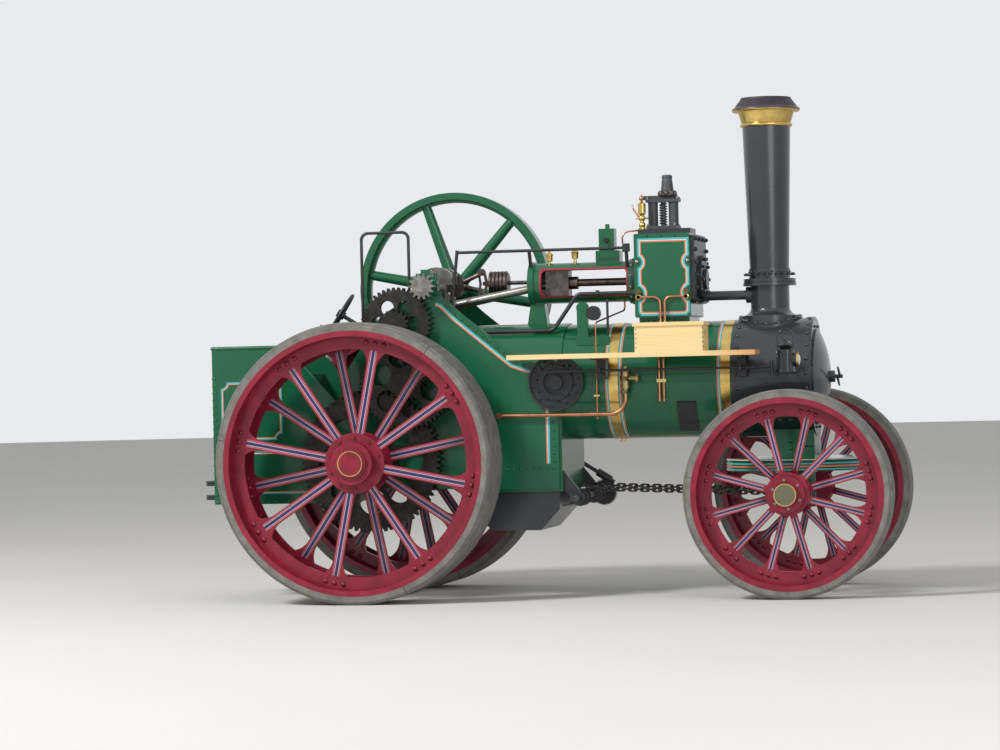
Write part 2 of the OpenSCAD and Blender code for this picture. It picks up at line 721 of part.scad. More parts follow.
module control_rods() color("dimgray") {
  // regulator rod from the block to the footplate, with its lever and its stanchion
  y = -web_y - web_t - 32;
  z = cylinder_z + 240;
  rod([guide_x1 - 40, y, z], [fire_x0 - 60, y, z], 11);
  rod([fire_x0 - 60, y, z + 16], [fire_x0 - 100, y, z - 340], 13, 9);
  difference() {
    rod([guide_x0 + 20, y + 60, cylinder_z + 100], [guide_x0 + 20, y, z], 13);
    translate([0, 0, cylinder_z]) along_x(guide_x0 - 1, guide_x1, guide_d / 2 + 12);
  }
  block([guide_x1 - 60, y - 20, z - 30], [guide_x1 - 10, y + 20, z + 30]);
  difference() {
    rod([guide_x1 - 35, y, z], [guide_x1 - 35, y + 30, cylinder_z + 100], 13);
    translate([0, 0, cylinder_z]) along_x(guide_x1 - 90, guide_x1, guide_d / 2 + 16);
  }
  // long rod beside the boiler, with a small lever at its front end
  translate([0, long_rod_y, long_rod_z]) {
    along_x(fire_x1 - 70, axle_x - 120, long_rod_r);
    rod([axle_x - 120, 0, -60], [axle_x - 120, 0, 45], 12);
  }
  // rail round the crank, bolted to the inner face of the right hornplate
  pipe([for (p = [[-480, boiler_z + 220], [-480, crank_z + 400], [-130, crank_z + 400],
    [-130, pad_z - 80]]) [crank_x + p[0], seat + 11 + elbow_t - firebox_w / 2, p[1]]],
    11, 50);
}

module feed_pipes() color("peru") {
  x = block_x0 - 50;
  y = -horn_y - 40;
  z = boiler_z - 232;            // level run
  // clack valve with a handwheel at its side
  translate([x, 0, boiler_z + 20]) {
    difference() {
      along_y(y, -barrel_r + 20, 26);
      translate([0, 0, -20]) along_x(-40, 40, barrel_r);
    }
    translate([0, y, -70]) cylinder(h = 130, r = 30);
    translate([0, y, 55]) cylinder(h = 30, r = 18);
    translate([0, y, -110]) cylinder(h = 45, r = 22);
    translate([0, y, 0]) along_x(0, 90, 16);
    translate([60, y, 0]) along_x(20, 36, 34);
  }
  // feed pipe down and back along the hornplate
  pipe([[x, y, boiler_z - 85], [x, y, z], [fire_x0 + 300, y, z]], 14, 110);
  translate([fire_x0 + 300, 0, z]) along_y(y - 22, -horn_y, 24);
}

module drain_pipes() color("peru") {
  y = -block_w / 2;
  mid = (block_x0 + block_x1) / 2;
  for (p = [[block_x0 + 30, mid - 16], [block_x1 - 30, mid + 16]]) {   // cock, foot
    translate([p[0], 0, cylinder_z - 125]) along_y(y - 36, y, 13);
    pipe([[p[0], y - 24, cylinder_z - 125], [p[1], y - 24, cylinder_z - 125],
      [p[1], y - 24, block_z - 30], [p[1], -barrel_r - 16, boiler_z + 150],
      [p[1], -barrel_r - 16, boiler_z - 150]], 9, 50);
  }
  // thin pipe from under the guide, held by a clip on the barrel
  x = block_x0 - 264;
  side = -barrel_r - 34;
  difference() {
    pipe([[guide_x1 - 80, 0, cylinder_z - guide_d / 2 + 10], [guide_x1 - 80, 0,
      cylinder_z - guide_d / 2 - 60], [x, side, cylinder_z - 300],
      [x, side, boiler_z - 265]], 6, 34);
    translate([0, 0, cylinder_z]) along_x(guide_x0, guide_x1, guide_d / 2);
  }
  difference() {
    block([x - 22, side - 10, boiler_z - 107], [x + 22, -barrel_r + 60, boiler_z - 93]);
    at_boiler() along_x(fire_x1, smoke_x0, barrel_r);
  }
  difference() {
    block([mid - 34, -barrel_r - 28, boiler_z - 14], [mid + 34, -barrel_r + 14,
      boiler_z + 10]);
    at_boiler() along_x(fire_x1, smoke_x0, barrel_r);
  }
}

// Steam pipe from the block, down and back along the firebox's top
steam_y = -260;
module steam_pipe() color("gray") {
  low_z = boiler_z + sqrt(pow(firebox_w / 2, 2) - pow(steam_y + 15, 2)) + 22;
  pipe([[block_x0, steam_y, cylinder_z - 89], [fire_x1 + 105, steam_y, cylinder_z - 89],
    [fire_x1 - 78, steam_y, low_z], [fire_x0 - 60, steam_y, low_z]], 15, 60);
  for (x = [block_x0 - 24, fire_x1 + 240])
    translate([x, steam_y, cylinder_z - 89]) along_x(0, 24, 25);
}

// Bracket of the reversing shaft on the barrel's right shoulder
module shaft_bracket() color("darkgreen") difference() {
  foot_z = boiler_z + sqrt(pow(barrel_r, 2) - 330 * 330) + 6;
  union() {
    across(-330, -290) {
      translate([fire_x1 + 110, foot_z]) square([80, boiler_z + 536 - foot_z]);
      translate([fire_x1 + 150, boiler_z + 530]) circle(44);
      translate([fire_x1 + 105, foot_z]) square([236, 60]);
      translate([fire_x1 + 180, boiler_z + 464]) square([52, 50]);
    }
    // drum and its post
    translate([fire_x1 + 232, 0, boiler_z + 491]) along_y(-352, -296, 52);
    translate([fire_x1 + 331, -312, foot_z + 10]) cylinder(h = 320, r = 9);
  }
  at_boiler() along_x(fire_x1, smoke_x0, barrel_r);
}

module side_cover() color("dimgray") translate([fire_x1 - 25, 0, boiler_z]) {
  y = -horn_y;
  r = cover_d / 2;
  across(y - 24, y) difference() {
    circle(r);
    for (a = [50 : 40 : 130]) rotate(a) translate([r * 0.8, 0]) circle(14);
  }
  across(y - 44, y - 24) difference() { circle(r); circle(r - 14); }
  across(y - 54, y - 24) difference() { circle(r * 0.62); circle(r * 0.44); }
  across(y - 62, y - 24) circle(r * 0.26);
  for (i = [0 : 11]) rotate([0, i * 30, 0]) translate([r * 0.53, 0, 0])
    along_y(y - 60, y - 50, 7);
}

// Plank, tool box and lamps
plank_y = -horn_y - 50;            // plank's inner edge
plank_x1 = axle_x - 212;           // plank's front end
module side_plank() color("burlywood") {
  block([plank_x1 - plank_l, plank_y - plank_w, plank_z - plank_t],
        [plank_x1, plank_y, plank_z]);
  // brackets from the smokebox and the barrel, with an eye that holds the long rod
  for (x = [plank_x1 - 130, block_x0 - 220]) difference() {
    union() {
      block([x - 32, plank_y - plank_w + 30, plank_z - plank_t - 12],
            [x + 32, -300, plank_z - plank_t]);
      block([x - 32, plank_y - 20, plank_z - plank_t - 150],
            [x + 32, plank_y + 4, plank_z - plank_t - 6]);
      block([x - 32, plank_y - 10, plank_z - plank_t - 150],
            [x + 32, -300, plank_z - plank_t - 126]);
      block([x - 8, long_rod_y - 18, long_rod_z - 18], [x + 8, plank_y, long_rod_z + 18]);
    }
    at_boiler() along_x(fire_x1, smoke_x0, barrel_r);
    at_boiler() along_x(smoke_x0, smoke_x1, smoke_r);
    translate([0, long_rod_y, long_rod_z]) along_x(fire_x1, axle_x, long_rod_r + seat);
  }
}
long_rod_y = plank_y - 85;
long_rod_z = boiler_z + 78;
long_rod_r = 9;

box_x0 = block_x0 + 72;
box_y0 = plank_y - plank_w;
lid_z = plank_z + box_h - 26;
lid_pin_r = 5;
lid_hinge_y = plank_y + 11;
module tool_box() color("burlywood") difference() {
  union() {
    difference() {
      block([box_x0, box_y0, plank_z], [box_x0 + box_l, plank_y, lid_z]);
      block([box_x0 + board_t, box_y0 + board_t, plank_z + board_t],
            [box_x0 + box_l - board_t, plank_y - board_t, lid_z + 1]);
    }
    // hinge knuckles and pins on the back board
    for (x = [90, box_l - 90]) translate([box_x0 + x, lid_hinge_y, lid_z]) {
      for (s = [-32, 16]) {
        along_x(s, s + 16, 10);
        block([s, plank_y - 4 - lid_hinge_y, -40], [s + 16, 0, 0]);
      }
      along_x(-32, 32, lid_pin_r);
    }
  }
  // oval hand hole in the front end board
  translate([box_x0 + box_l - board_t - 1, (box_y0 + plank_y) / 2, plank_z + box_h * 0.6])
    rotate([90, 0, 90]) linear_extrude(board_t + 2) stadium([-36, 0], [36, 0], 16, 16);
}

module tool_box_lid() color("burlywood") difference() {
  union() {
    block([box_x0 - 12, box_y0 - 14, lid_z + seat], [box_x0 + box_l + 12, plank_y,
      lid_z + 26]);
    for (x = [90, box_l - 90]) translate([box_x0 + x, lid_hinge_y, lid_z]) {
      along_x(-15.5, 15.5, 10);
      block([-15.5, plank_y - 4 - lid_hinge_y, seat], [15.5, 0, 10]);
    }
  }
  for (x = [90, box_l - 90]) translate([box_x0 + x, lid_hinge_y, lid_z])
    along_x(-40, 40, lid_pin_r + run_fit);
}

lamp_y = smoke_r + 175;
lamp_z = boiler_z + 46;
module side_lamps() color("dimgray") both_sides()
  translate([axle_x - 18, -lamp_y, lamp_z]) {
  // round body on a foot, with a lens tube to the front
  cylinder(h = 150, r = 62);
  translate([0, 0, -6]) cylinder(h = 14, r = 68);
  translate([0, 0, 78]) along_x(45, 88, 48);
  // flared crown and its cap
  translate([0, 0, 149]) cylinder(h = 33, r1 = 34, r2 = 60);
  translate([0, 0, 182]) cylinder(h = 30, r1 = 60, r2 = 22);
  translate([0, 0, 210]) cylinder(h = 12, r = 16);
  // bracket from the smokebox
  difference() {
    block([-20, 0, 20], [20, lamp_y - smoke_r + 85, 32]);
    translate([18 - axle_x, lamp_y, boiler_z - lamp_z]) along_x(smoke_x0, smoke_x1,
      smoke_r);
  }
  // wire handle over the crown
  translate([0, 0, 237]) rotate([90, 0, 0]) rotate_extrude(angle = 180)
    translate([57, 0]) circle(4);
  for (s = [-57, 57]) translate([s, 0, 100]) cylinder(h = 138, r = 4.5);
}

// Front axle and wheels
pivot_z = front_z + 70;            // top face of the axle's boss
module perch_bracket() color("darkgreen") translate([axle_x, 0, 0]) {
  difference() {
    union() {
      block([-160, -210, pivot_z + 160], [smokebox_lead - 5, 210, boiler_z - 230]);
      block([-120, -150, pivot_z + 60], [120, 150, pivot_z + 170]);
    }
    at_boiler() along_x(-200, 200, smoke_r);
    at_boiler() along_x(smokebox_lead - front_ring_l, 200, smoke_r + 6);
  }
  // round plate with rolled edges, under the bracket
  translate([0, 0, pivot_z + 76]) rotate_extrude() {
    square([perch_plate_d / 2 - 10, 88]);
    for (z = [10, 78]) translate([perch_plate_d / 2 - 10, z]) circle(10);
    translate([perch_plate_d / 2 - 20, 10]) square([14, 68]);
  }
  translate([0, 0, pivot_z + seat]) cylinder(h = 90, r = 105);
  // king pin and its collar
  translate([0, 0, front_z - 96]) cylinder(h = 200, r = king_pin_d / 2);
  translate([0, 0, front_z - 96]) cylinder(h = 26 - seat, r = king_pin_d / 2 + 18);
}

axle_end = front_track / 2 + 60;
module front_axle() color("dimgray") translate([axle_x, 0, front_z]) difference() {
  union() {
    along_y(-axle_end, axle_end, front_journal_d / 2);
    both_sides() block([-48, -hub_in + 1, -48], [48, 0, 48]);
    translate([0, 0, -70]) cylinder(h = 140, r = 105);
    // eyes for the steering chains
    both_sides() translate([eye_x, -chain_y, eye_z]) {
      across(-5, 5) circle(24);
      block([0, -5, -24], [60, 5, 24]);
      block([30, -20, -40], [80, 20, -8]);
    }
  }
  translate([0, 0, -80]) cylinder(h = 160, r = king_pin_d / 2 + run_fit);
  both_sides() translate([eye_x, -chain_y, eye_z]) along_y(-20, 20, 11);
}
chain_y = 270;                     // inside the front wheels at full lock
eye_x = -90;                       // chain eye behind the axle, and above its middle
eye_z = -10;
hub_in = front_track / 2 - 115;    // inner face of a front hub

// Rim with its inner lips, one or two T-rings and the spokes, about the Y axis
module rim_and_spokes(r, w, ring_in, ring_y, spokes, spoke_w, hub_r, hub_y) {
  revolve_y() {
    translate([r - 22, -w / 2]) square([22, w]);
    for (s = [-1, 1]) translate([r - 40, s > 0 ? w / 2 - 16 : -w / 2]) square([40, 16]);
    for (y = ring_y) translate([ring_in, y - 10]) square([r - ring_in - 10, 20]);
  }
  flare = spoke_w * 2.1;
  for (i = [0 : spokes - 1]) {
    side = i % 2 == 0 ? -1 : 1;
    ring = ring_y[i % len(ring_y)];
    rotate([0, (i + 0.5) * 360 / spokes, 0]) translate([ring_in, ring, 0])
      rotate([0, 0, atan2(ring - side * hub_y, ring_in - hub_r)])
        across(-8, 8) {
          translate([hub_r - ring_in - 14, -spoke_w / 2])
            square([ring_in - hub_r + 60, spoke_w]);
          // flare on to the ring
          difference() {
            translate([-flare * 0.8, -spoke_w * 1.55])
              square([flare * 0.8 + 50, spoke_w * 3.1]);
            for (s = [-1, 1]) translate([-flare * 0.8, s * (spoke_w / 2 + flare)])
              circle(flare);
          }
        }
  }
}

rim_r = front_tyre_d / 2 - front_rubber;
module front_wheel() {
  cap_out = 215;                 // face of the hub cap from the wheel's middle
  difference() {
    union() {
      rim_and_spokes(rim_r, front_wheel_w, rim_r - 135, [0], front_spokes,
        front_spoke_w, 130, 62);
      revolve_y() {
        translate([0, -115]) square([104, 245]);
        for (y = [-78, 54]) translate([0, y]) square([152, 24]);
        translate([0, 78]) square([126, 52]);
        translate([0, 100]) square([80, cap_out - 100]);
        translate([0, cap_out - 16]) square([72, 22]);
      }
    }
    along_y(-front_journal_d, 200, front_journal_d / 2 + run_fit);
  }
}
module front_tyre() revolve_y() difference() {
  translate([0, -front_wheel_w / 2]) round_rect(rim_r - 40, 0, front_tyre_d / 2,
    front_wheel_w, 24);
  translate([rim_r - 60, -front_wheel_w]) square([60, 2 * front_wheel_w]);
}
module front_right() translate([axle_x, -front_track / 2, front_z]) children();
module front_left() mirror([0, 1, 0]) front_right() children();
module front_wheel_right() color("crimson") front_right() front_wheel();
module front_wheel_left() color("crimson") front_left() front_wheel();
module front_tyre_right() color("gray") front_right() front_tyre();
module front_tyre_left() color("gray") front_left() front_tyre();

// Rear axle and wheels
rear_rim_r = rear_tyre_d / 2 - rear_rubber;
rear_y = rear_gap / 2 + rear_wheel_w / 2;
module rear_wheel() difference() {
  union() {
    rim_and_spokes(rear_rim_r, rear_wheel_w, rear_rim_r - 130, [-rear_wheel_w / 4,
      rear_wheel_w / 4], rear_spokes, rear_spoke_w, 170, 110);
    revolve_y() {
      translate([0, -rear_wheel_w / 2 + 40]) square([150, rear_wheel_w - 40]);
      for (y = [-128, 98]) translate([0, y]) square([215, 30]);
      translate([0, rear_wheel_w / 2 - 20]) square([110, 40]);
      translate([0, rear_wheel_w / 2 + 10]) square([84, 26]);
    }
  }
  along_y(-rear_wheel_w / 2 - 10, rear_wheel_w, rear_axle_d / 2 + run_fit);
}
module rear_tyre() revolve_y() difference() {
  translate([0, -rear_wheel_w / 2]) round_rect(rear_rim_r - 40, 0, rear_tyre_d / 2,
    rear_wheel_w, 28);
  translate([rear_rim_r - 60, -rear_wheel_w]) square([60, 2 * rear_wheel_w]);
}
module rear_right() translate([rear_x, -rear_y, rear_z]) children();
module rear_left() mirror([0, 1, 0]) rear_right() children();
module rear_wheel_right() color("crimson") rear_right() rear_wheel();
module rear_wheel_left() color("crimson") rear_left() rear_wheel();
module rear_tyre_right() color("gray") rear_right() rear_tyre();
module rear_tyre_left() color("gray") rear_left() rear_tyre();

module rear_axle() color("silver") translate([rear_x, 0, rear_z]) {
  along_y(-rear_y - rear_wheel_w / 2 + 20, rear_y + rear_wheel_w / 2 - 20,
    rear_axle_d / 2);
  // axle boxes inside the hornplates
  both_sides() across(firebox_w / 2 - 90, firebox_w / 2) round_rect(-110, -120, 110, 120,
    20);
}

// Tender and drawbar
tender_x1 = rear_x - 170;
tender_x0 = tender_x1 - tender_l;
bunker_x1 = tender_x0 + bunker_l;
module tender() color("darkgreen") {
  w = tender_w / 2;
  difference() {
    block([tender_x0, -w, tank_z], [tender_x1, w, footplate_z]);
    for (s = [-1, 1]) block([horn_x0 - 4, s * w - 60, tank_z - 1],
      [tender_x1 + 1, s * w + 60, footplate_z + 1]);
  }
  // side sheets, cut away for the driver to climb in, and the rear sheet
  both_sides() across(w - sheet_t, w) difference() {
    polygon([[tender_x0, footplate_z], [horn_x0 - 4, footplate_z],
      [horn_x0 - 4, footplate_z + 260], [bunker_x1 - 40, bunker_z],
      [tender_x0, bunker_z]]);
  }
  block([tender_x0, -w, footplate_z], [tender_x0 + sheet_t, w, bunker_z]);
  // bunker's front sheet, with the shovelling hole
  translate([bunker_x1, 0, 0]) rotate([90, 0, 90]) linear_extrude(sheet_t) difference() {
    translate([-w, footplate_z]) square([2 * w, bunker_z - footplate_z - 200]);
    translate([-170, footplate_z + 20]) square([340, 240]);
  }
  // rolled beading on the upper edges
  both_sides() rod([tender_x0, w - sheet_t / 2, bunker_z], [bunker_x1 - 40,
    w - sheet_t / 2, bunker_z], 14);
  rod([tender_x0 + sheet_t / 2, -w, bunker_z], [tender_x0 + sheet_t / 2, w, bunker_z], 14);
  // floor between the hornplates, up to the firebox
  block([tender_x1 - 1, -firebox_w / 2, footplate_z - sheet_t], [fire_x0, firebox_w / 2,
    footplate_z]);
}

drawbar_end = rear_x - rear_reach;
drawbar_z = tank_z + 90;
module drawbar() color("dimgray") difference() {
  union() {
    // back plate, and the two jaws that take the pin
    block([tender_x0 - 24, -200, drawbar_z - 110], [tender_x0, 200, drawbar_z + 110]);
    for (z = [-70, 34]) translate([0, 0, drawbar_z + z]) linear_extrude(36) {
      translate([drawbar_end + 60, 0]) circle(60);
      translate([drawbar_end + 60, -60]) square([tender_x0 - drawbar_end - 60, 120]);
    }
  }
  translate([drawbar_end + 60, 0, drawbar_z - 100]) cylinder(h = 200, d = drawbar_pin_d);
}

// Steering
drum_x = fire_x1 + 105;
drum_z = front_z - 20;
worm_at = [drum_x, 660, drum_z + 122];
wheel_at = [rear_x - 400, 250, 2080];
hand_wheel_r = 165;
module steering_gear() color("dimgray") {
  translate([drum_x, 0, drum_z]) {
    along_y(-630, 692, 22);
    both_sides() {
      translate([0, 0, 0]) along_y(chain_y - 52, chain_y + 52, 46);
      for (s = [-60, 52]) along_y(chain_y + s, chain_y + s + 8, 62);
    }
    // worm wheel
    across(638, 682) gear_outline(36, 92);
    // arms from the front of the firebox
    both_sides() across(380, 404) difference() {
      union() {
        polygon([[fire_x1 - drum_x, firebox_z + 20 - drum_z], [fire_x1 - drum_x,
          firebox_z + 150 - drum_z], [20, 41], [-30, -34]]);
        circle(46);
      }
    }
  }
  // shaft with the worm, and the hand wheel
  along = unit(wheel_at - worm_at);
  rod(worm_at - along * 90, wheel_at, 15);
  rod(worm_at - along * 60, worm_at + along * 60, 30);
  translate(wheel_at) rotate([0, acos(along[2]), atan2(along[1], along[0])]) {
    rotate_extrude() translate([hand_wheel_r, 0]) circle(13);
    for (a = [0 : 72 : 288]) rotate(a) rod([20, 0, 0], [hand_wheel_r - 5, 0, 0], 9);
    translate([0, 0, -30]) cylinder(h = 60, r = 30);
    translate([hand_wheel_r - 12, 0, 0]) cylinder(h = 90, r = 12);
  }
}

// One chain link: a flat stadium ring, from its first end's middle back along -X
link_in = 52;                      // inside length
link_bar = 13;
link_slot = 15;
link_gap = 0.3;
link_pitch = link_in - link_slot - link_gap
  + 2 * sqrt(pow(link_slot / 2, 2) - pow(link_bar / 2, 2));
module chain_link() linear_extrude(link_bar, center = true) difference() {
  far = [link_slot - link_in, 0];
  stadium([0, 0], far, link_slot / 2 + link_bar, link_slot / 2 + link_bar);
  stadium([0, 0], far, link_slot / 2, link_slot / 2);
}
chain_rise = drum_z + 46 + link_slot / 2 + link_bar + 0.5 - front_z - eye_z;
module steering_chains() color("dimgray") both_sides() {
  from = axle_x + eye_x + 1;       // middle of the bar that goes through the eye
  run = from - drum_x;
  count = round(run / link_pitch);
  translate([from, -chain_y, front_z + eye_z]) rotate([0, atan2(chain_rise, run), 0])
    for (i = [0 : count - 1]) translate([-link_slot / 2 - link_bar / 2 - i * link_pitch,
      0, 0]) rotate([i % 2 * 90, 0, 0]) chain_link();
}

// Backhead
fire_hinge_y = firehole_d / 2 + 45;
module firehole_door() color("dimgray") translate([fire_x0 - seat, 0, firehole_z]) {
  difference() {
    union() {
      along_x(-16, 0, firehole_d / 2 + 20);
      along_x(-60, -16, 12);
      for (z = [-70, 70]) {
        block([-34, firehole_d / 2 - 60, z - 14], [-12, fire_hinge_y, z + 14]);
        translate([-26, fire_hinge_y, z - 14]) cylinder(h = 28, r = 13);
      }
    }
    for (z = [-70, 70]) translate([-26, fire_hinge_y, z - 20])
      cylinder(h = 40, r = 7 + run_fit);
  }
}

module backhead_fittings() color("gold") {
  // hinge pins of the firehole door
  translate([fire_x0 - seat - 26, fire_hinge_y, firehole_z]) {
    for (z = [-70, 70]) {
      translate([0, 0, z - 36]) cylinder(h = 72, r = 7);
      for (s = [-26, 26]) block([-8, -8, z + s - 10], [26 + seat, 8, z + s + 10]);
    }
  }
  // water gauge: two cocks and the glass
  translate([fire_x0 - 60, -180, boiler_z + 60]) {
    cylinder(h = 300, r = 11);
    for (z = [20, 280]) translate([0, 0, z]) along_x(0, 60, 18);
    for (z = [0, 260]) translate([0, 0, z]) cylinder(h = 40, r = 22);
  }
  // pressure gauge
  translate([0, 130, boiler_z + 300]) {
    along_x(fire_x0 - 70, fire_x0 - 30, 78);
    along_x(fire_x0 - 40, fire_x0, 18);
  }
  // reversing lever with its quadrant, right of the driver
  translate([fire_x0 - 260, -firebox_w / 2 + 70, footplate_z]) {
    rod([-2, 0, 20], [-90, 0, 900], 16, 11);
    across(-14, -6) intersection() {
      difference() { circle(520); circle(470); }
      rotate(70) square([700, 700]);
      rotate(20) square([700, 700]);
    }
    block([-40, -24, 0], [40, 24, 60]);
    block([-20, -14, 0], [20, -6, 500]);
  }
}

boiler_barrel();
boiler_bands();
smokebox();
smokebox_door();
chimney();
chimney_cap();
firebox();
ashpan();
hornplates();
cylinder_block();
cylinder_covers();
safety_valves();
whistle();
trunk_guide();
crosshead();
connecting_rod();
valve_gear();
crankshaft();
flywheel();
crank_bearings();
exhaust_pipe();
control_rods();
feed_pipes();
drain_pipes();
steam_pipe();
shaft_bracket();
side_cover();
side_plank();
tool_box();
tool_box_lid();
side_lamps();
perch_bracket();
front_axle();
front_wheel_right();
front_wheel_left();
front_tyre_right();
front_tyre_left();
rear_axle();
rear_wheel_right();
rear_wheel_left();
rear_tyre_right();
rear_tyre_left();
gearing();
tender();
drawbar();
steering_gear();
steering_chains();
firehole_door();
backhead_fittings();
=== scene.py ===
"""Finishes, fastenings, lining and fine fittings of a steam traction engine, dressed
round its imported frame. X points forward, Y to the engine's left, Z up, in metres."""
import math
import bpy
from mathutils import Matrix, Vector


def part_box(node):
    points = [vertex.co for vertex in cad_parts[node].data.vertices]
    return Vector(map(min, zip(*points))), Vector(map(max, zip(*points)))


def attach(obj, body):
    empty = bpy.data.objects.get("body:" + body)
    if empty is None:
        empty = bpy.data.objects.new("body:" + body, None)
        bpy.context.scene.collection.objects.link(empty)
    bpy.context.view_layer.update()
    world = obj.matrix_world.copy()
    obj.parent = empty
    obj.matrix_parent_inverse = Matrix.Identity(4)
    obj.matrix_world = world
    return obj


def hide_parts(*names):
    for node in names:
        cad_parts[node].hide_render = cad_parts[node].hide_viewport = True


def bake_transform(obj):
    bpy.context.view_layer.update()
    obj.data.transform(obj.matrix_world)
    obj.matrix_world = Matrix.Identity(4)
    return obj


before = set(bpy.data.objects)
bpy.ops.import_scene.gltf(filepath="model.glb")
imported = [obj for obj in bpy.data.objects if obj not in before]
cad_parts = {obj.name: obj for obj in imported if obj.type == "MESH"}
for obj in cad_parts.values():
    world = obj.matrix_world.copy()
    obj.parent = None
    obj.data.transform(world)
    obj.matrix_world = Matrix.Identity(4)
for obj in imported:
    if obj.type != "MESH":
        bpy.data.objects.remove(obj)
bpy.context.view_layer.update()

from types import SimpleNamespace

import bmesh
import bpy
from bpy.props import BoolProperty, FloatProperty, FloatVectorProperty, IntProperty
from bpy.props import PointerProperty
from mathutils import Matrix, Vector

bl_info = {
    "name": "Steam Traction Engine Dressing",
    "version": (1, 0, 0),
    "blender": (4, 5, 0),
    "location": "3D View > Sidebar > Engine",
    "description": "Adds paint, lining, rivets and fine fittings to the engine's frame",
    "category": "Object",
}

MM = 0.001
FORWARD, BACKWARD = (1, 0, 0), (-1, 0, 0)
RIGHTWARD, LEFTWARD, UPWARD = (0, -1, 0), (0, 1, 0), (0, 0, 1)
SIDES = ((-1, "right"), (1, "left"))


def middle(node_name):
    low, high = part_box(node_name)
    return (low + high) / 2


# Places of the frame, read from its nodes' boxes or taken from its own measures
FRONT_HUB = middle("front_tyre_right")
REAR_HUB = middle("rear_tyre_right")
SMOKEBOX_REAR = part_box("smokebox")[0].x
TENDER_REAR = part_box("tender")[0].x
BOILER_Z = 1.539
BARREL_R = 0.418
SMOKE_R = 0.425
SMOKE_FRONT_BAND = 1.961
SMOKE_FACE = 1.9858
SADDLE_PLATE_R = 0.439
CYLINDER_Z = 2.260
CRANK_X = -0.770
CHIMNEY_X = 1.665
CAP_Z = 3.340
BAND_WIDTH = 0.068
BLOCK_FACE_Y = -0.300
BLOCK_REAR, BLOCK_FRONT = 0.730, 1.134
END_PLATE_X = BLOCK_FRONT + 0.032
HORNPLATE_Y = 0.450
VALVES_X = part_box("cylinder_block")[0].x + 0.006 + 0.173
VALVES_Z = 2.630
VALVE_COVER_X = VALVES_X + 0.032
PERCH_BOLTS = ((1.817, 1.083), (1.816, 1.033), (1.925, 1.054), (1.961, 1.053))
PERCH_X = 1.860
LINK_HALF_WIDTH = 0.0205
CHAIN_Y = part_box("steering_chains")[1].y - LINK_HALF_WIDTH


# Colours and materials

def linear(hexcode):
    """sRGB hex, or a colour of the panel, to the RGBA that a shader socket takes."""
    if not isinstance(hexcode, str):
        return (*hexcode, 1.0)
    out = []
    for i in (0, 2, 4):
        v = int(hexcode[i:i + 2], 16) / 255
        out.append(v / 12.92 if v <= 0.04045 else ((v + 0.055) / 1.055) ** 2.4)
    return (*out, 1.0)


def shaded(hexcode, factor):
    """A colour made darker or brighter, without passing white."""
    return (*(min(1, c * factor) for c in linear(hexcode)[:3]), 1.0)


def fill(tree, node, inputs):
    """Sets a node's inputs to values, or links them to sockets or to nodes' outputs."""
    for key, value in inputs.items():
        if isinstance(value, bpy.types.Node):
            value = next(socket for socket in value.outputs if socket.enabled)
        if isinstance(value, bpy.types.NodeSocket):
            tree.links.new(value, node.inputs[key])
        else:
            node.inputs[key].default_value = value


def add(tree, kind, inputs=(), **settings):
    """Adds a node with its settings, and fills its inputs, named or in their order."""
    node = tree.nodes.new(kind)
    for key, value in settings.items():
        setattr(node, key, value)
    fill(tree, node, inputs if isinstance(inputs, dict) else dict(enumerate(inputs)))
    return node


MATH, MIX, NOISE = "ShaderNodeMath", "ShaderNodeMix", "ShaderNodeTexNoise"
# Inputs of a Mix node: two numbers, or two colours
A, B, COLOUR_A, COLOUR_B = 2, 3, 6, 7


def material(name):
    """A new material, its tree, its shader and the place of each point on the object."""
    mat = bpy.data.materials.new(name)
    mat.use_nodes = True
    tree = mat.node_tree
    place = add(tree, "ShaderNodeTexCoord").outputs["Object"]
    return mat, tree, tree.nodes["Principled BSDF"], place


def box_mask(tree, xyz, low, high):
    """1 inside the box between two corners; None leaves a side of the box open."""
    out = None
    for axis, (a, b) in enumerate(zip(low, high)):
        if a is not None:
            part = add(tree, MATH, (xyz[axis], (a + b) / 2, (b - a) / 2),
                       operation="COMPARE")
            out = add(tree, MATH, (out, part), operation="MULTIPLY") if out else part
    return out


def tube_mask(tree, xyz, axis, centre, radius):
    """1 within a radius of a line along an axis."""
    squares = []
    for i in range(3):
        if i != axis:
            d = add(tree, MATH, (xyz[i], centre[i]), operation="SUBTRACT")
            squares.append(add(tree, MATH, (d, d), operation="MULTIPLY"))
    total = add(tree, MATH, squares, operation="ADD")
    return add(tree, MATH, (total, radius * radius), operation="LESS_THAN")


def region(low, high, hexcode, rough, metal=0.0, tube=None):
    """Another colour inside a box, and inside a tube where one is given."""
    def build(tree, xyz):
        mask = box_mask(tree, xyz, low, high)
        if tube:
            mask = add(tree, MATH, (mask, tube_mask(tree, xyz, *tube)),
                       operation="MULTIPLY")
        return mask
    return build, hexcode, rough, metal


FINISH = {}


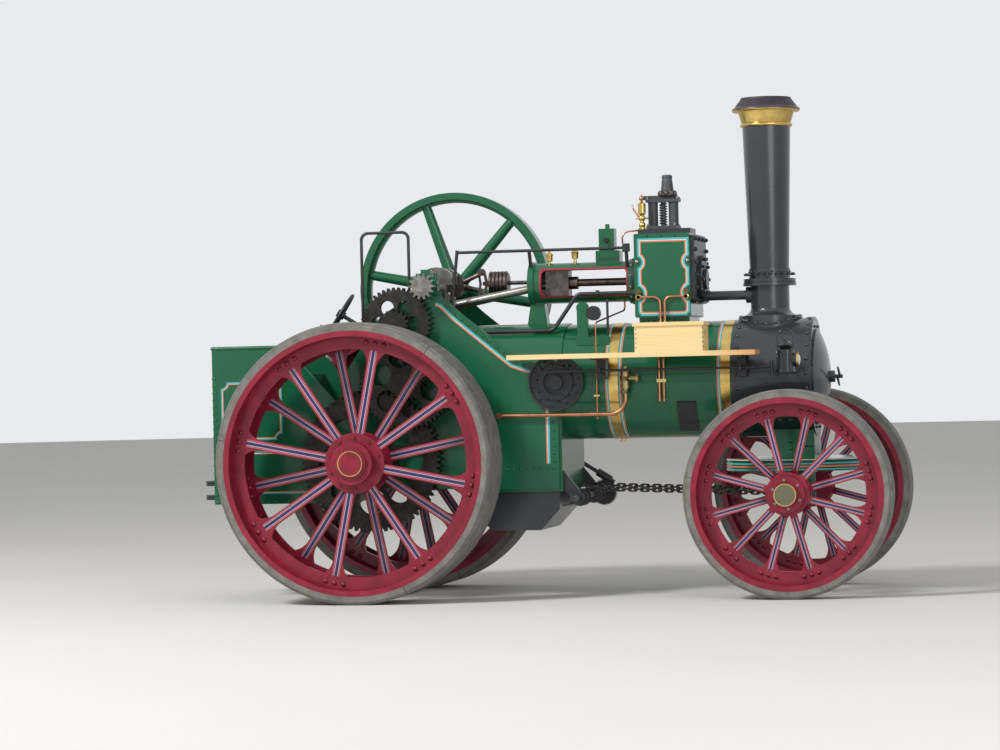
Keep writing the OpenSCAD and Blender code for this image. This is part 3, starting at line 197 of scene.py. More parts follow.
def finish(key, name, base, rough, metal=0.0, coat=0.0, shift=0.12, patch_mm=180,
           speck_mm=2.5, bump=0.05, darker=None, regions=(), specular=0.5):
    """A painted or metal finish. patch_mm is the size of its soft colour changes, speck_mm
    the grain of its surface, and regions are parts of it in another colour."""
    mat, tree, shader, place = material(name)
    patch = add(tree, NOISE, {"Vector": place, "Scale": 1 / (patch_mm * MM),
                              "Detail": 5.0, "Roughness": 0.62}).outputs["Fac"]
    speck = add(tree, NOISE, {"Vector": place, "Scale": 1 / (speck_mm * MM),
                              "Detail": 2.0}).outputs["Fac"]
    spread = add(tree, "ShaderNodeMapRange", {"Value": patch, "From Min": 0.25,
                                              "From Max": 0.75})
    colour = add(tree, MIX, {"Factor": spread, COLOUR_B: shaded(base, 1 + shift),
                             COLOUR_A: shaded(darker or base, 1 - 2.2 * shift)},
                 data_type="RGBA")
    roughness = add(tree, "ShaderNodeMapRange", {"Value": speck, "To Min": rough * 0.82,
                                                 "To Max": min(1.0, rough * 1.25)})
    metallic = metal
    split = add(tree, "ShaderNodeSeparateXYZ", {"Vector": place}).outputs
    for build, hexcode, region_rough, region_metal in regions:
        mask = build(tree, split)
        tint = add(tree, MIX, {"Factor": spread, COLOUR_A: shaded(hexcode, 0.78),
                               COLOUR_B: linear(hexcode)}, data_type="RGBA")
        colour = add(tree, MIX, {"Factor": mask, COLOUR_A: colour, COLOUR_B: tint},
                     data_type="RGBA")
        roughness = add(tree, MIX, {"Factor": mask, A: roughness, B: region_rough})
        if region_metal != metal:
            metallic = add(tree, MIX, {"Factor": mask, A: metallic, B: region_metal})
    relief = add(tree, "ShaderNodeBump", {"Height": speck, "Strength": bump,
                                          "Distance": 0.4 * MM})
    fill(tree, shader, {"Base Color": colour, "Roughness": roughness,
                        "Metallic": metallic, "Coat Weight": coat,
                        "Coat Roughness": 0.08, "Specular IOR Level": specular,
                        "Normal": relief})
    FINISH[key] = mat
    return mat


def tyre_rubber(key, name, hub, outer):
    """Vulcanised grey rubber, dusty on the tread, with fine moulded rings on its sides."""
    mat = finish(key, name, "85837B", 0.78, shift=0.10, patch_mm=90, speck_mm=4, bump=0.25,
                 darker="6A6964", specular=0.3)
    tree = mat.node_tree
    shader = tree.nodes["Principled BSDF"]
    place = add(tree, "ShaderNodeTexCoord").outputs["Object"]
    offset = add(tree, "ShaderNodeVectorMath", (place, hub), operation="SUBTRACT")
    x, _, z = add(tree, "ShaderNodeSeparateXYZ", (offset,)).outputs
    square = add(tree, MATH, (z, z), operation="MULTIPLY")
    square = add(tree, MATH, (x, x, square), operation="MULTIPLY_ADD")
    reach = add(tree, MATH, (square,), operation="SQRT")
    # a darker scuffed edge at the tread's shoulder, and three moulded joints
    shoulder = add(tree, MATH, (reach, outer - 0.016, 0.008), operation="COMPARE")
    turn = add(tree, MATH, (x, z), operation="ARCTAN2")
    joint = 0.0
    for angle in (0.62, 2.75, 4.9 - 2 * math.pi):
        spot = add(tree, MATH, (turn, angle, 0.0022), operation="COMPARE")
        joint = add(tree, MATH, (joint, spot), operation="MAXIMUM")
    scuff = add(tree, MATH, (shoulder, 0.45), operation="MULTIPLY")
    dirt = shader.inputs["Base Color"].links[0].from_socket
    for mask, hexcode in ((scuff, "5A5852"), (joint, "2B2A28")):
        dirt = add(tree, MIX, {"Factor": mask, COLOUR_A: dirt, COLOUR_B: linear(hexcode)},
                   data_type="RGBA")
    # rings 9 mm apart on the side
    phase = add(tree, MATH, (reach, 2 * math.pi / 0.009), operation="MULTIPLY")
    wave = add(tree, MATH, (phase,), operation="SINE")
    grain = shader.inputs["Normal"].links[0].from_socket
    relief = add(tree, "ShaderNodeBump", {"Height": wave, "Strength": 0.12,
                                          "Distance": 0.6 * MM, "Normal": grain})
    fill(tree, shader, {"Base Color": dirt, "Normal": relief})


def pine(key, name, iron_below=None):
    """Planed softwood, oiled: straight grain along X, growth rings about 8 mm apart.
    Below iron_below metres up it is painted iron."""
    mat, tree, shader, place = material(name)
    laid = add(tree, "ShaderNodeMapping", {"Vector": place, "Scale": (0.25, 6, 6)})
    warp = add(tree, NOISE, {"Vector": laid, "Scale": 4.0, "Detail": 4.0}).outputs["Fac"]
    fibre = add(tree, NOISE, {"Vector": laid, "Scale": 90.0, "Detail": 3.0}).outputs["Fac"]
    rings = add(tree, "ShaderNodeTexWave", {
        "Vector": laid, "Scale": 5.5, "Distortion": 5.0, "Detail": 3.0,
        "Detail Scale": 1.4}, wave_type="BANDS", bands_direction="Z").outputs["Fac"]
    half = add(tree, MATH, (warp, 0.5), operation="MULTIPLY")
    blends = [(add(tree, MATH, (rings, 0.55, half), operation="MULTIPLY_ADD"), "DDB36E"),
              (add(tree, MATH, (fibre, 0.35), operation="MULTIPLY"), "FAEBC0")]
    if iron_below:
        # browner with oil towards the front end, on brackets painted black
        split = add(tree, "ShaderNodeSeparateXYZ", {"Vector": place}).outputs
        oiled = add(tree, "ShaderNodeMapRange", {"Value": split[0], "From Min": 1.25,
                                                 "From Max": 1.65, "To Max": 0.75})
        under = add(tree, MATH, (split[2], iron_below), operation="LESS_THAN")
        blends += [(oiled, "C98246"), (under, "26282B")]
    tone = linear("F6DFA4")
    for mask, hexcode in blends:
        tone = add(tree, MIX, {"Factor": mask, COLOUR_A: tone, COLOUR_B: linear(hexcode)},
                   data_type="RGBA")
    relief = add(tree, "ShaderNodeBump", {"Height": rings, "Strength": 0.15,
                                          "Distance": 0.5 * MM})
    fill(tree, shader, {"Base Color": tone, "Roughness": 0.5, "Normal": relief})
    FINISH[key] = mat


def lamp_glass():
    """Lamp glass, a few millimetres thick, drawn opaque."""
    FINISH["glass"], tree, shader, place = material("lamp_glass")
    # painted reflection: the glass is opaque, and its pale tint in noisy patches stands in for
    # its reflection
    painted_reflection_patches = add(tree, NOISE, {"Vector": place, "Scale": 60.0}).outputs["Fac"]
    tint = add(tree, MIX, {"Factor": painted_reflection_patches, COLOUR_A: linear("C9D2D0"),
                           COLOUR_B: linear("E4EAE6")}, data_type="RGBA")
    fill(tree, shader, {"Base Color": tint, "Roughness": 0.05, "Coat Weight": 1.0,
                        "IOR": 1.5})


def make_finishes(paint):
    green, crimson, black, brass = (tuple(colour) for colour in (
        paint.green, paint.crimson, paint.black, paint.brass))
    # Coach enamel under varnish: deep green, wet-looking, hardly marked
    enamel = dict(coat=0.25, shift=0.035, specular=0.35)
    ink = "24272B", 0.4
    finish("green", "coach_enamel_green", green, 0.2, **enamel)
    # The same enamel on the barrel, with the low plate on its right side in black
    finish("barrel", "coach_enamel_green_barrel", green, 0.2, regions=(
        region((1.029, -0.45, 1.170), (1.171, -0.18, 1.390), *ink),), **enamel)
    # Green sides of the block under a valve seat of black iron
    finish("block", "coach_enamel_green_block", green, 0.2, regions=(
        region((None, None, 2.5905), (None, None, 2.7), "34363A", 0.42),), **enamel)
    # Green bracket of the reversing shaft, whose drum and post are black
    finish("bracket", "coach_enamel_green_bracket", green, 0.22, regions=(
        region((None, -0.36, None), (None, -0.3302, None), *ink),
        region((0.520, -0.35, 1.862), (0.545, -0.28, 2.2), *ink)), **enamel)
    # The guide's slots are edged in crimson, inside the same green enamel; its bore is
    # near-black as painted shade; and the lubricator's box on top of it has a black cock
    finish("guide", "coach_enamel_green_guide", green, 0.22, regions=(
        region((0.003, -0.3, 2.154), (0.654, 0.3, 2.366), "B02540", 0.4),
        # painted shade: near-black on the bore, within 0.126 m of the cylinder's axis
        region((-0.2, -0.2, None), (0.7, 0.2, None), "2A2A28", 0.5,
               tube=(0, (0, 0, CYLINDER_Z), 0.1258)),
        region((0.460, -0.1, 2.530), (0.520, -0.0525, 2.590), "1F2124", 0.35)), **enamel)
    # Crimson enamel, brushed on cast and rolled iron, dull bronze on the hub cap
    cast = dict(coat=0.2, shift=0.06, darker="741627", specular=0.35)
    for sign, side in SIDES:
        hub = (FRONT_HUB.x, sign * abs(FRONT_HUB.y), FRONT_HUB.z)
        face = hub[1] + sign * 0.2
        finish(f"crimson_{side}", f"brushed_enamel_crimson_{side}", crimson, 0.34,
               patch_mm=120, regions=(
            region((None, face - 0.024, None), (None, face + 0.024, None), "7C775F",
                   0.40, 0.8, tube=(1, hub, 0.0735)),), **cast)
    finish("crimson_rear", "brushed_enamel_crimson_rear", crimson, 0.36, patch_mm=140,
           **cast)
    # Heat-proof black on plate, oiled and wiped until it shines
    finish("black", "smokebox_black", black, 0.26, coat=0.25, shift=0.04,
           darker="2B2F35", patch_mm=200, speck_mm=3, bump=0.04)
    # Brushed black on small iron parts, duller and more marked
    finish("iron_black", "black_painted_iron", "2A2D31", 0.36, shift=0.12,
           darker="1E2022", patch_mm=70, speck_mm=2, bump=0.10)
    # Cast iron of the safety valves, greyer where steam has bleached the paint
    finish("valve_iron", "bleached_cast_iron", "4C4D50", 0.45, shift=0.14,
           darker="3A3B3E", patch_mm=60, speck_mm=2, bump=0.15)
    # Turned and filed steel, wiped with oil
    finish("steel", "bright_oiled_steel", "A9A7A2", 0.28, metal=1.0, shift=0.10,
           darker="7B7368", patch_mm=60, speck_mm=1.5, bump=0.08)
    # The crosshead and the valve rod's drum, darker where oil has browned the steel
    finish("oily_steel", "browned_oily_steel", "6E6560", 0.34, metal=0.9, shift=0.14,
           darker="4A403A", patch_mm=45, speck_mm=2, bump=0.12)
    # Cast gear and forged chain iron under old grease
    finish("greasy_iron", "greasy_iron", "3E3C3A", 0.42, metal=0.7, shift=0.2,
           darker="2A2724", patch_mm=50, speck_mm=2, bump=0.25)
    # Spun and rolled brass, polished by hand, hardly tarnished
    rolled = dict(metal=1.0, shift=0.06, darker="CDA650")
    finish("brass", "hand_polished_brass", brass, 0.22, patch_mm=90, speck_mm=1.5,
           bump=0.03, **rolled)
    # Cast bronze, dulled brown by steam
    finish("bronze", "steamed_bronze", "8E7A52", 0.35, metal=1.0, shift=0.15,
           darker="5E5038", patch_mm=25, speck_mm=1.5, bump=0.10)
    # The cap's brass skirt under a smoked steel tube and rim
    finish("cap", "cap_brass_and_smoked_steel", brass, 0.22, patch_mm=70, regions=(
        region((None, None, CAP_Z + 0.122), (None, None, 3.6), "5A4F56", 0.36, 0.6),
        region((None, None, CAP_Z + 0.146), (None, None, 3.6), "3A3437", 0.5, 0.3)),
        **rolled)
    # Drawn copper tube, browner where it has tarnished
    drawn = dict(metal=1.0, shift=0.08, darker="B07A5A", patch_mm=60, speck_mm=1.5)
    finish("copper", "drawn_copper", "D0906C", 0.3, **drawn)
    # The drain pipes' copper, with their two clips of brass
    finish("drains", "drawn_copper_drains", "D0906C", 0.3, regions=(
        region((0.895, -0.47, 1.5245), (0.970, -0.40, 1.5495), "E0CC90", 0.3, 1.0),
        region((0.443, -0.47, 1.4315), (0.489, -0.35, 1.4465), "E0CC90", 0.3, 1.0)),
        **drawn)
    # The same tube on the feed pipe, below a clack valve of cast bronze
    finish("feed", "drawn_copper_feed", "D0906C", 0.3, regions=(
        region((0.60, None, 1.424), (0.80, None, 1.70), "B0A070", 0.32, 1.0),), **drawn)
    # Sheet iron of the lamps, japanned black and polished
    finish("japan", "black_japan", "17191D", 0.16, coat=0.6, shift=0.06,
           darker="101114", patch_mm=40, speck_mm=2, bump=0.03)
    # Moulded tyres of grey rubber, worn pale and dusty
    tyre_rubber("front_tyre", "grey_rubber_front", FRONT_HUB, 0.73)
    tyre_rubber("rear_tyre", "grey_rubber_rear", REAR_HUB, 1.0)
    # Pine of the tool box, and of the plank on its brackets of black iron
    pine("pine", "planed_pine")
    pine("plank", "planed_pine_plank", iron_below=1.7045)
    lamp_glass()
    # Lining colours: enamel laid with a fine brush
    for key, name, hexcode, shift in (
            ("line_blue", "lining_turquoise", "55B4BC", 0.03),
            ("line_orange", "lining_orange_red", "D9805F", 0.03),
            ("line_white", "lining_cream", "EDE8DE", 0.02),
            ("line_navy", "lining_dark_blue", "2A2850", 0.04),
            ("line_lilac", "lining_lilac", "B7A3C2", 0.03),
            ("line_rose", "lining_dusty_rose", "C77F78", 0.03)):
        finish(key, name, hexcode, 0.35, shift=shift)


NODE_FINISH = {
    "green": ["firebox", "hornplates", "crank_bearings", "flywheel", "perch_bracket",
              "tender"],
    "barrel": ["boiler_barrel"],
    "block": ["cylinder_block"],
    "bracket": ["shaft_bracket"],
    "guide": ["trunk_guide"],
    "crimson_right": ["front_wheel_right"],
    "crimson_left": ["front_wheel_left"],
    "crimson_rear": ["rear_wheel_right", "rear_wheel_left"],
    "black": ["smokebox", "smokebox_door", "chimney", "ashpan", "exhaust_pipe"],
    "iron_black": ["control_rods", "front_axle", "drawbar", "side_cover",
                   "steering_gear", "firehole_door", "cylinder_covers", "steam_pipe"],
    "valve_iron": ["safety_valves"],
    "steel": ["connecting_rod", "crankshaft", "rear_axle"],
    "oily_steel": ["crosshead", "valve_gear"],
    "greasy_iron": ["gearing", "steering_chains"],
    "brass": ["boiler_bands", "whistle", "backhead_fittings"],
    "cap": ["chimney_cap"],
    "drains": ["drain_pipes"],
    "feed": ["feed_pipes"],
    "japan": ["side_lamps"],
    "front_tyre": ["front_tyre_right", "front_tyre_left"],
    "rear_tyre": ["rear_tyre_right", "rear_tyre_left"],
    "plank": ["side_plank"],
    "pine": ["tool_box", "tool_box_lid"],
}


# Geometry Nodes trees

def group(name, sockets):
    """A node tree with a geometry input and output, named inputs, and a material."""
    tree = bpy.data.node_groups.new(name, "GeometryNodeTree")
    for socket_name, kind in (("Geometry", "Geometry"), *sockets, ("Material", "Material")):
        tree.interface.new_socket(socket_name, in_out="INPUT",
                                  socket_type="NodeSocket" + kind)
    tree.interface.new_socket("Geometry", in_out="OUTPUT",
                              socket_type="NodeSocketGeometry")
    return tree, add(tree, "NodeGroupInput").outputs


def close_tree(tree, given, points, **placing):
    """Puts instances on the points, makes them real and gives them their material."""
    placed = add(tree, "GeometryNodeInstanceOnPoints", {"Points": points, **placing})
    real = add(tree, "GeometryNodeRealizeInstances", {"Geometry": placed})
    painted = add(tree, "GeometryNodeSetMaterial", {"Geometry": real,
                                                    "Material": given["Material"]})
    add(tree, "NodeGroupOutput", {"Geometry": painted})
    return tree


def heads_tree(name, shapes):
    """Joins shapes and puts them on each point, with Z turned to the point's 'facing'
    attribute, and scaled to the tree's Radius and Height."""
    tree, given = group(name, (("Radius", "Float"), ("Height", "Float")))
    head = add(tree, "GeometryNodeJoinGeometry")
    for kind, inputs, lift in shapes:
        shape = add(tree, kind, inputs)
        raised = add(tree, "GeometryNodeTransform", {"Geometry": shape.outputs[0],
                                                     "Translation": (0.0, 0.0, lift)})
        tree.links.new(raised.outputs[0], head.inputs[0])
    way = add(tree, "GeometryNodeInputNamedAttribute", {"Name": "facing"},
              data_type="FLOAT_VECTOR").outputs[0]
    turn = add(tree, "FunctionNodeAlignRotationToVector", {"Vector": way}, axis="Z")
    size = add(tree, "ShaderNodeCombineXYZ", (given["Radius"], given["Radius"],
                                              given["Height"]))
    return close_tree(tree, given, given["Geometry"], Instance=head, Rotation=turn,
                      Scale=size)


def rivet_tree():
    """A domed head on each point."""
    return heads_tree("Domed rivets", [
        ("GeometryNodeMeshUVSphere", {"Segments": 10, "Rings": 6, "Radius": 1.0}, 0.0)])


def nut_tree():
    """A hexagon nut with its stud's end on each point."""
    return heads_tree("Nuts on studs", [
        ("GeometryNodeMeshCylinder", {"Vertices": sides, "Radius": across, "Depth": tall},
         tall / 2 - 0.1) for sides, across, tall in ((6, 1.0, 1.0), (12, 0.55, 1.45))])


def repeat_tree():
    """Repeats a shape along a line from Start by Pitch, each one turned on by Turn."""
    tree, given = group("Repeats along a line", (
        ("Count", "Int"), ("Start", "Vector"), ("Pitch", "Vector"), ("First", "Vector"),
        ("Turn", "Vector")))
    points = add(tree, "GeometryNodeMeshLine", {"Count": given["Count"],
                                                "Start Location": given["Start"],
                                                "Offset": given["Pitch"]})
    index = add(tree, "GeometryNodeInputIndex")
    turn = add(tree, "ShaderNodeVectorMath", (index, given["Turn"], given["First"]),
               operation="MULTIPLY_ADD")
    return close_tree(tree, given, points, Instance=given["Geometry"], Rotation=turn)


MAKERS = {"rivets": rivet_tree, "nuts": nut_tree, "repeats": repeat_tree}
TREES = {}


def add_object(name, mesh):
    piece = bpy.data.objects.new(name, mesh)
    bpy.context.scene.collection.objects.link(piece)
    return piece


def grown(name, tree_name, mesh, **values):
    """Runs a tree on a mesh and returns the result as a plain mesh object."""
    if tree_name not in TREES:
        TREES[tree_name] = MAKERS[tree_name]()
    tree = TREES[tree_name]
    plan = add_object(name + "_plan", mesh)
    grow = plan.modifiers.new("Grow", "NODES")
    grow.node_group = tree
    for item in tree.interface.items_tree:
        if item.item_type == "SOCKET" and item.in_out == "INPUT" and item.name in values:
            grow[item.identifier] = values[item.name]
    graph = bpy.context.evaluated_depsgraph_get()
    made = bpy.data.meshes.new_from_object(plan.evaluated_get(graph))
    plan.modifiers.remove(grow)
    bpy.data.objects.remove(plan)
    if not made.polygons:
        raise RuntimeError(f"{name}: the tree made nothing")
    return add_object(name, made)


def on_body(piece, body):
    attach(piece, body)
    return piece


# Spots: points with the way that each one faces

def at(points, way):
    return [(Vector(p), Vector(way)) for p in points]


def row(start, end, count, way):
    start, end = Vector(start), Vector(end)
    return at([start.lerp(end, i / (count - 1)) for i in range(count)], way)


def polar(r, angle):
    return r * math.cos(angle), r * math.sin(angle)


def turns(count):
    return [2 * math.pi * i / count for i in range(count)]


def degrees(first, last, step):
    a, out = first, []
    while a < last + 0.01:
        out.append(math.radians(a))
        a += step
    return out


def around_x(x, r, angles):
    """Spots round the boiler's axis, facing out from it, at angles from straight up."""
    out = []
    for z, y in (polar(1, a) for a in angles):
        out.append((Vector((x, r * y, BOILER_Z + r * z)), Vector((0, y, z))))
    return out


def facing_x(x, z, r, angles, way=FORWARD):
    """Spots on a flat round face across the X axis."""
    return at([(x, y, z + up) for up, y in (polar(r, a) for a in angles)], way)


def on_wheel(hub, r, angles, y, way):
    """Spots on a flat face of a wheel or a round cover about a Y axis."""
    return at([(hub.x + x, y, hub.z + z) for x, z in (polar(r, a) for a in angles)],
              (0, way, 0))


def both(spots):
    """The same spots on the engine's right and left."""
    flip = Vector((1, -1, 1))
    return spots + [(p * flip, n * flip) for p, n in spots]


def fasteners(name, spots, radius, height, key="green", kind="rivets", body="engine"):
    """A head on each spot, in one piece."""
    mesh = bpy.data.meshes.new(name)
    mesh.from_pydata([tuple(p) for p, _ in spots], [], [])
    facing = mesh.attributes.new("facing", "FLOAT_VECTOR", "POINT")
    for i, (_, way) in enumerate(spots):
        facing.data[i].vector = way.normalized()
    piece = grown(name, kind, mesh, Radius=radius, Height=height, Material=FINISH[key])
    if kind == "rivets":
        piece.data.shade_smooth()
    on_body(piece, body)


# Shapes in mesh code

TURN = {"Z": Matrix.Identity(3), "X": Matrix.Rotation(math.pi / 2, 3, "Y"),
        "Y": Matrix.Rotation(math.pi / 2, 3, "X")}


def mesh_of(name, bm):
    """The closed mesh of the shapes drawn, with its faces turned outwards."""
    bmesh.ops.remove_doubles(bm, verts=bm.verts, dist=1e-6)
    bmesh.ops.recalc_face_normals(bm, faces=bm.faces)
    mesh = bpy.data.meshes.new(name)
    bm.to_mesh(mesh)
    bm.free()
    return mesh


def fit(name, bm, key, body="engine", smooth=False):
    """Makes a finished piece of the shapes drawn and puts it on its body."""
    piece = add_object(name, mesh_of(name, bm))
    piece.data.materials.append(FINISH[key])
    if smooth:
        piece.data.shade_smooth()
    on_body(piece, body)


def skin(bm, rings, loop=False):
    """Faces between rings of corners; a ring of one corner is a tip, others are capped."""
    pairs = list(zip(rings, rings[1:]))
    if loop:
        pairs.append((rings[-1], rings[0]))
    for a, b in pairs:
        count = max(len(a), len(b))
        for i in range(count):
            j = (i + 1) % count
            corners = (a[i % len(a)], a[j % len(a)], b[j % len(b)], b[i % len(b)])
            bm.faces.new(dict.fromkeys(corners))
    if not loop:
        for end in (rings[0], rings[-1]):
            if len(end) > 2:
                bm.faces.new(end)


def ring(bm, centre, axis, along, r, segments):
    """Corners round an axis, or one corner on it."""
    angles = turns(segments) if r else [0.0]
    return [bm.verts.new(Vector(centre) + TURN[axis] @ Vector((*polar(r, a), along)))
            for a in angles]


def lathe(bm, profile, centre, axis="Z", segments=32):
    """Solid turned from (along, radius) points and closed at both ends. Along the Y axis
    it grows towards the engine's right."""
    first, last = profile[0], profile[-1]
    points = [(first[0], 0), *profile] + ([(last[0], 0)] if last[1] else [])
    skin(bm, [ring(bm, centre, axis, along, r, segments) for along, r in points])


def hoop(bm, centre, axis, start, end, inner, outer, segments=96):
    """A ring of rectangular section about an axis."""
    corners = ((start, inner), (start, outer), (end, outer), (end, inner))
    skin(bm, [ring(bm, centre, axis, along, r, segments) for along, r in corners], True)


def stripe(bm, points, normal, width, shift=0.0, raised=0.0007, closed=True):
    """A painted line along a flat path, shifted sideways within its plane."""
    pts = [Vector(p) for p in points]
    n = Vector(normal).normalized()
    count = len(pts)
    rails = []
    for i, p in enumerate(pts):
        before = (p - pts[(i - 1) % count]).normalized() if closed or i else None
        after = (pts[(i + 1) % count] - p).normalized() if closed or i < count - 1 else None
        side1, side2 = n.cross(before or after), n.cross(after or before)
        mitre = (side1 + side2).normalized()
        stretch = 1 / max(mitre.dot(side1), 0.4)
        low = p + mitre * stretch * (shift - width / 2)
        high = p + mitre * stretch * (shift + width / 2)
        rails.append([bm.verts.new(v) for v in (
            low - n * 0.0003, low + n * raised, high + n * raised, high - n * 0.0003)])
    skin(bm, rails, closed)


def tube(bm, points, radius, segments=10):
    """A round bar through the points, with flat ends."""
    pts = [Vector(p) for p in points]
    rings = []
    for i, p in enumerate(pts):
        along = (pts[min(i + 1, len(pts) - 1)] - pts[max(i - 1, 0)]).normalized()
        side = along.cross(Vector((0, 1, 0.01))).normalized()
        other = along.cross(side)
        rings.append([bm.verts.new(p + side * u + other * v)
                      for u, v in (polar(radius, a) for a in turns(segments))])
    skin(bm, rings)


def arc(centre, radius, first, last, steps=7):
    angles = [first + (last - first) * i / steps for i in range(steps + 1)]
    return [(centre[0] + u, centre[1] + v) for u, v in (polar(radius, a) for a in angles)]


def scalloped(x0, z0, x1, z1, r):
    """Panel outline with hollow corners."""
    quarter = math.pi / 2
    return (arc((x0, z0), r, quarter, 0) + arc((x1, z0), r, math.pi, quarter)
            + arc((x1, z1), r, -quarter, -math.pi) + arc((x0, z1), r, 0, -quarter))


def bitten(x0, z0, x1, z1, bites):
    """Panel outline whose upright sides are bitten by (height, radius) arcs centred
    a little outside them."""
    half = math.radians(66)
    right, left = [], []
    for z, r in sorted(bites):
        outside = r * math.cos(half)
        right += arc((x1 + outside, z), r, math.pi + half, math.pi - half, 12)
        left += arc((x0 - outside, z), r, -half, half, 12)
    cut = 0.020
    return ([(x0, z0 + cut), (x0 + cut, z0), (x1 - cut, z0), (x1, z0 + cut)] + right
            + [(x1, z1), (x0, z1)] + left[::-1])


# colour, distance in from the outermost line, width
LINING = (("line_blue", 0.0, 0.006), ("line_white", 0.0085, 0.004),
          ("line_orange", 0.014, 0.005))
WIDE_LINING = (("line_blue", 0.0, 0.014), ("line_white", 0.009, 0.004),
               ("line_orange", 0.016, 0.010))


def lined(name, outlines, scheme=LINING, closed=True):
    """Lays the three colours of the lining along each (points, normal) outline."""
    for colour, shift, width in scheme:
        bm = bmesh.new()
        for points, normal, inward in outlines:
            stripe(bm, points, normal, width, shift * inward, closed=closed)
        fit(f"{name}_{colour}", bm, colour)


# The panel's settings

LENGTH = dict(subtype="DISTANCE", unit="LENGTH")
COLOUR = dict(subtype="COLOR", size=3, min=0.0, max=1.0)
POWER = dict(subtype="POWER", unit="POWER", min=0.0, max=20000.0)


class TractionPaint(bpy.types.PropertyGroup):
    """Colours of the enamel and the metals."""
    green: FloatVectorProperty(
        name="Green enamel", description="Boiler, cylinder, hornplates and tender",
        default=linear("19603F")[:3], **COLOUR)
    crimson: FloatVectorProperty(
        name="Crimson enamel", description="Front and rear wheels",
        default=linear("96203A")[:3], **COLOUR)
    black: FloatVectorProperty(
        name="Smokebox black", description="Smokebox, chimney and door",
        default=linear("33373E")[:3], **COLOUR)
    brass: FloatVectorProperty(
        name="Brass", description="Bands, cap, whistle and cups",
        default=linear("E8CD86")[:3], **COLOUR)


class TractionFittings(bpy.types.PropertyGroup):
    """Sizes and counts of the small fastenings, and the stripes."""
    rivet_radius: FloatProperty(
        name="Rivet radius", description="Snap heads on smokebox and saddle",
        min=0.005, max=0.02, default=0.0165, **LENGTH)
    tee_rivet_radius: FloatProperty(
        name="Wheel rivet radius", description="Snap heads that hold spokes to T-rings",
        min=0.008, max=0.02, default=0.0175, **LENGTH)
    nut_radius: FloatProperty(
        name="Nut radius", description="Half the width of the nuts on flanges",
        min=0.008, max=0.02, default=0.013, **LENGTH)
    saddle_rivets: IntProperty(
        name="Saddle rivets", description="Rivets in the ring round the chimney's saddle",
        min=12, max=32, default=16)
    striped_spokes: BoolProperty(
        name="Striped spokes", description="Paint the stripe down every wheel spoke",
        default=True)


class TractionStudio(bpy.types.PropertyGroup):
    """Floor and lamps."""
    floor_radius: FloatProperty(
        name="Floor radius", description="Radius of the plain floor",
        min=20.0, max=200.0, default=70.0, **LENGTH)
    key_watts: FloatProperty(
        name="Key light", description="Power of the soft lamp high over the tender's side",
        default=2300.0, **POWER)
    fill_watts: FloatProperty(
        name="Fill light", description="Power of the wide lamp before the front wheels",
        default=600.0, **POWER)
    world_strength: FloatProperty(
        name="Sky", description="Strength of the even light all round", min=0.0,
        max=2.0, default=0.52)


# Operators, one for each piece or group of like pieces

class TRACTION_OT_finishes(bpy.types.Operator):
    """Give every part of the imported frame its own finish"""
    bl_idname = "traction.finishes"
    bl_label = "Paint the frame"

    def execute(self, context):
        make_finishes(context.scene.traction_paint)
        painted = set()
        for key, names in NODE_FINISH.items():
            for node_name in names:
                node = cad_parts[node_name]
                for held in node.material_slots:
                    held.material = FINISH[key]
                if not node.material_slots:
                    raise RuntimeError(f"{node_name} has no material slot")
                painted.add(node_name)
        left_out = set(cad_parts) - painted
        if left_out:
            raise RuntimeError(f"no finish for {sorted(left_out)}")
        return {"FINISHED"}


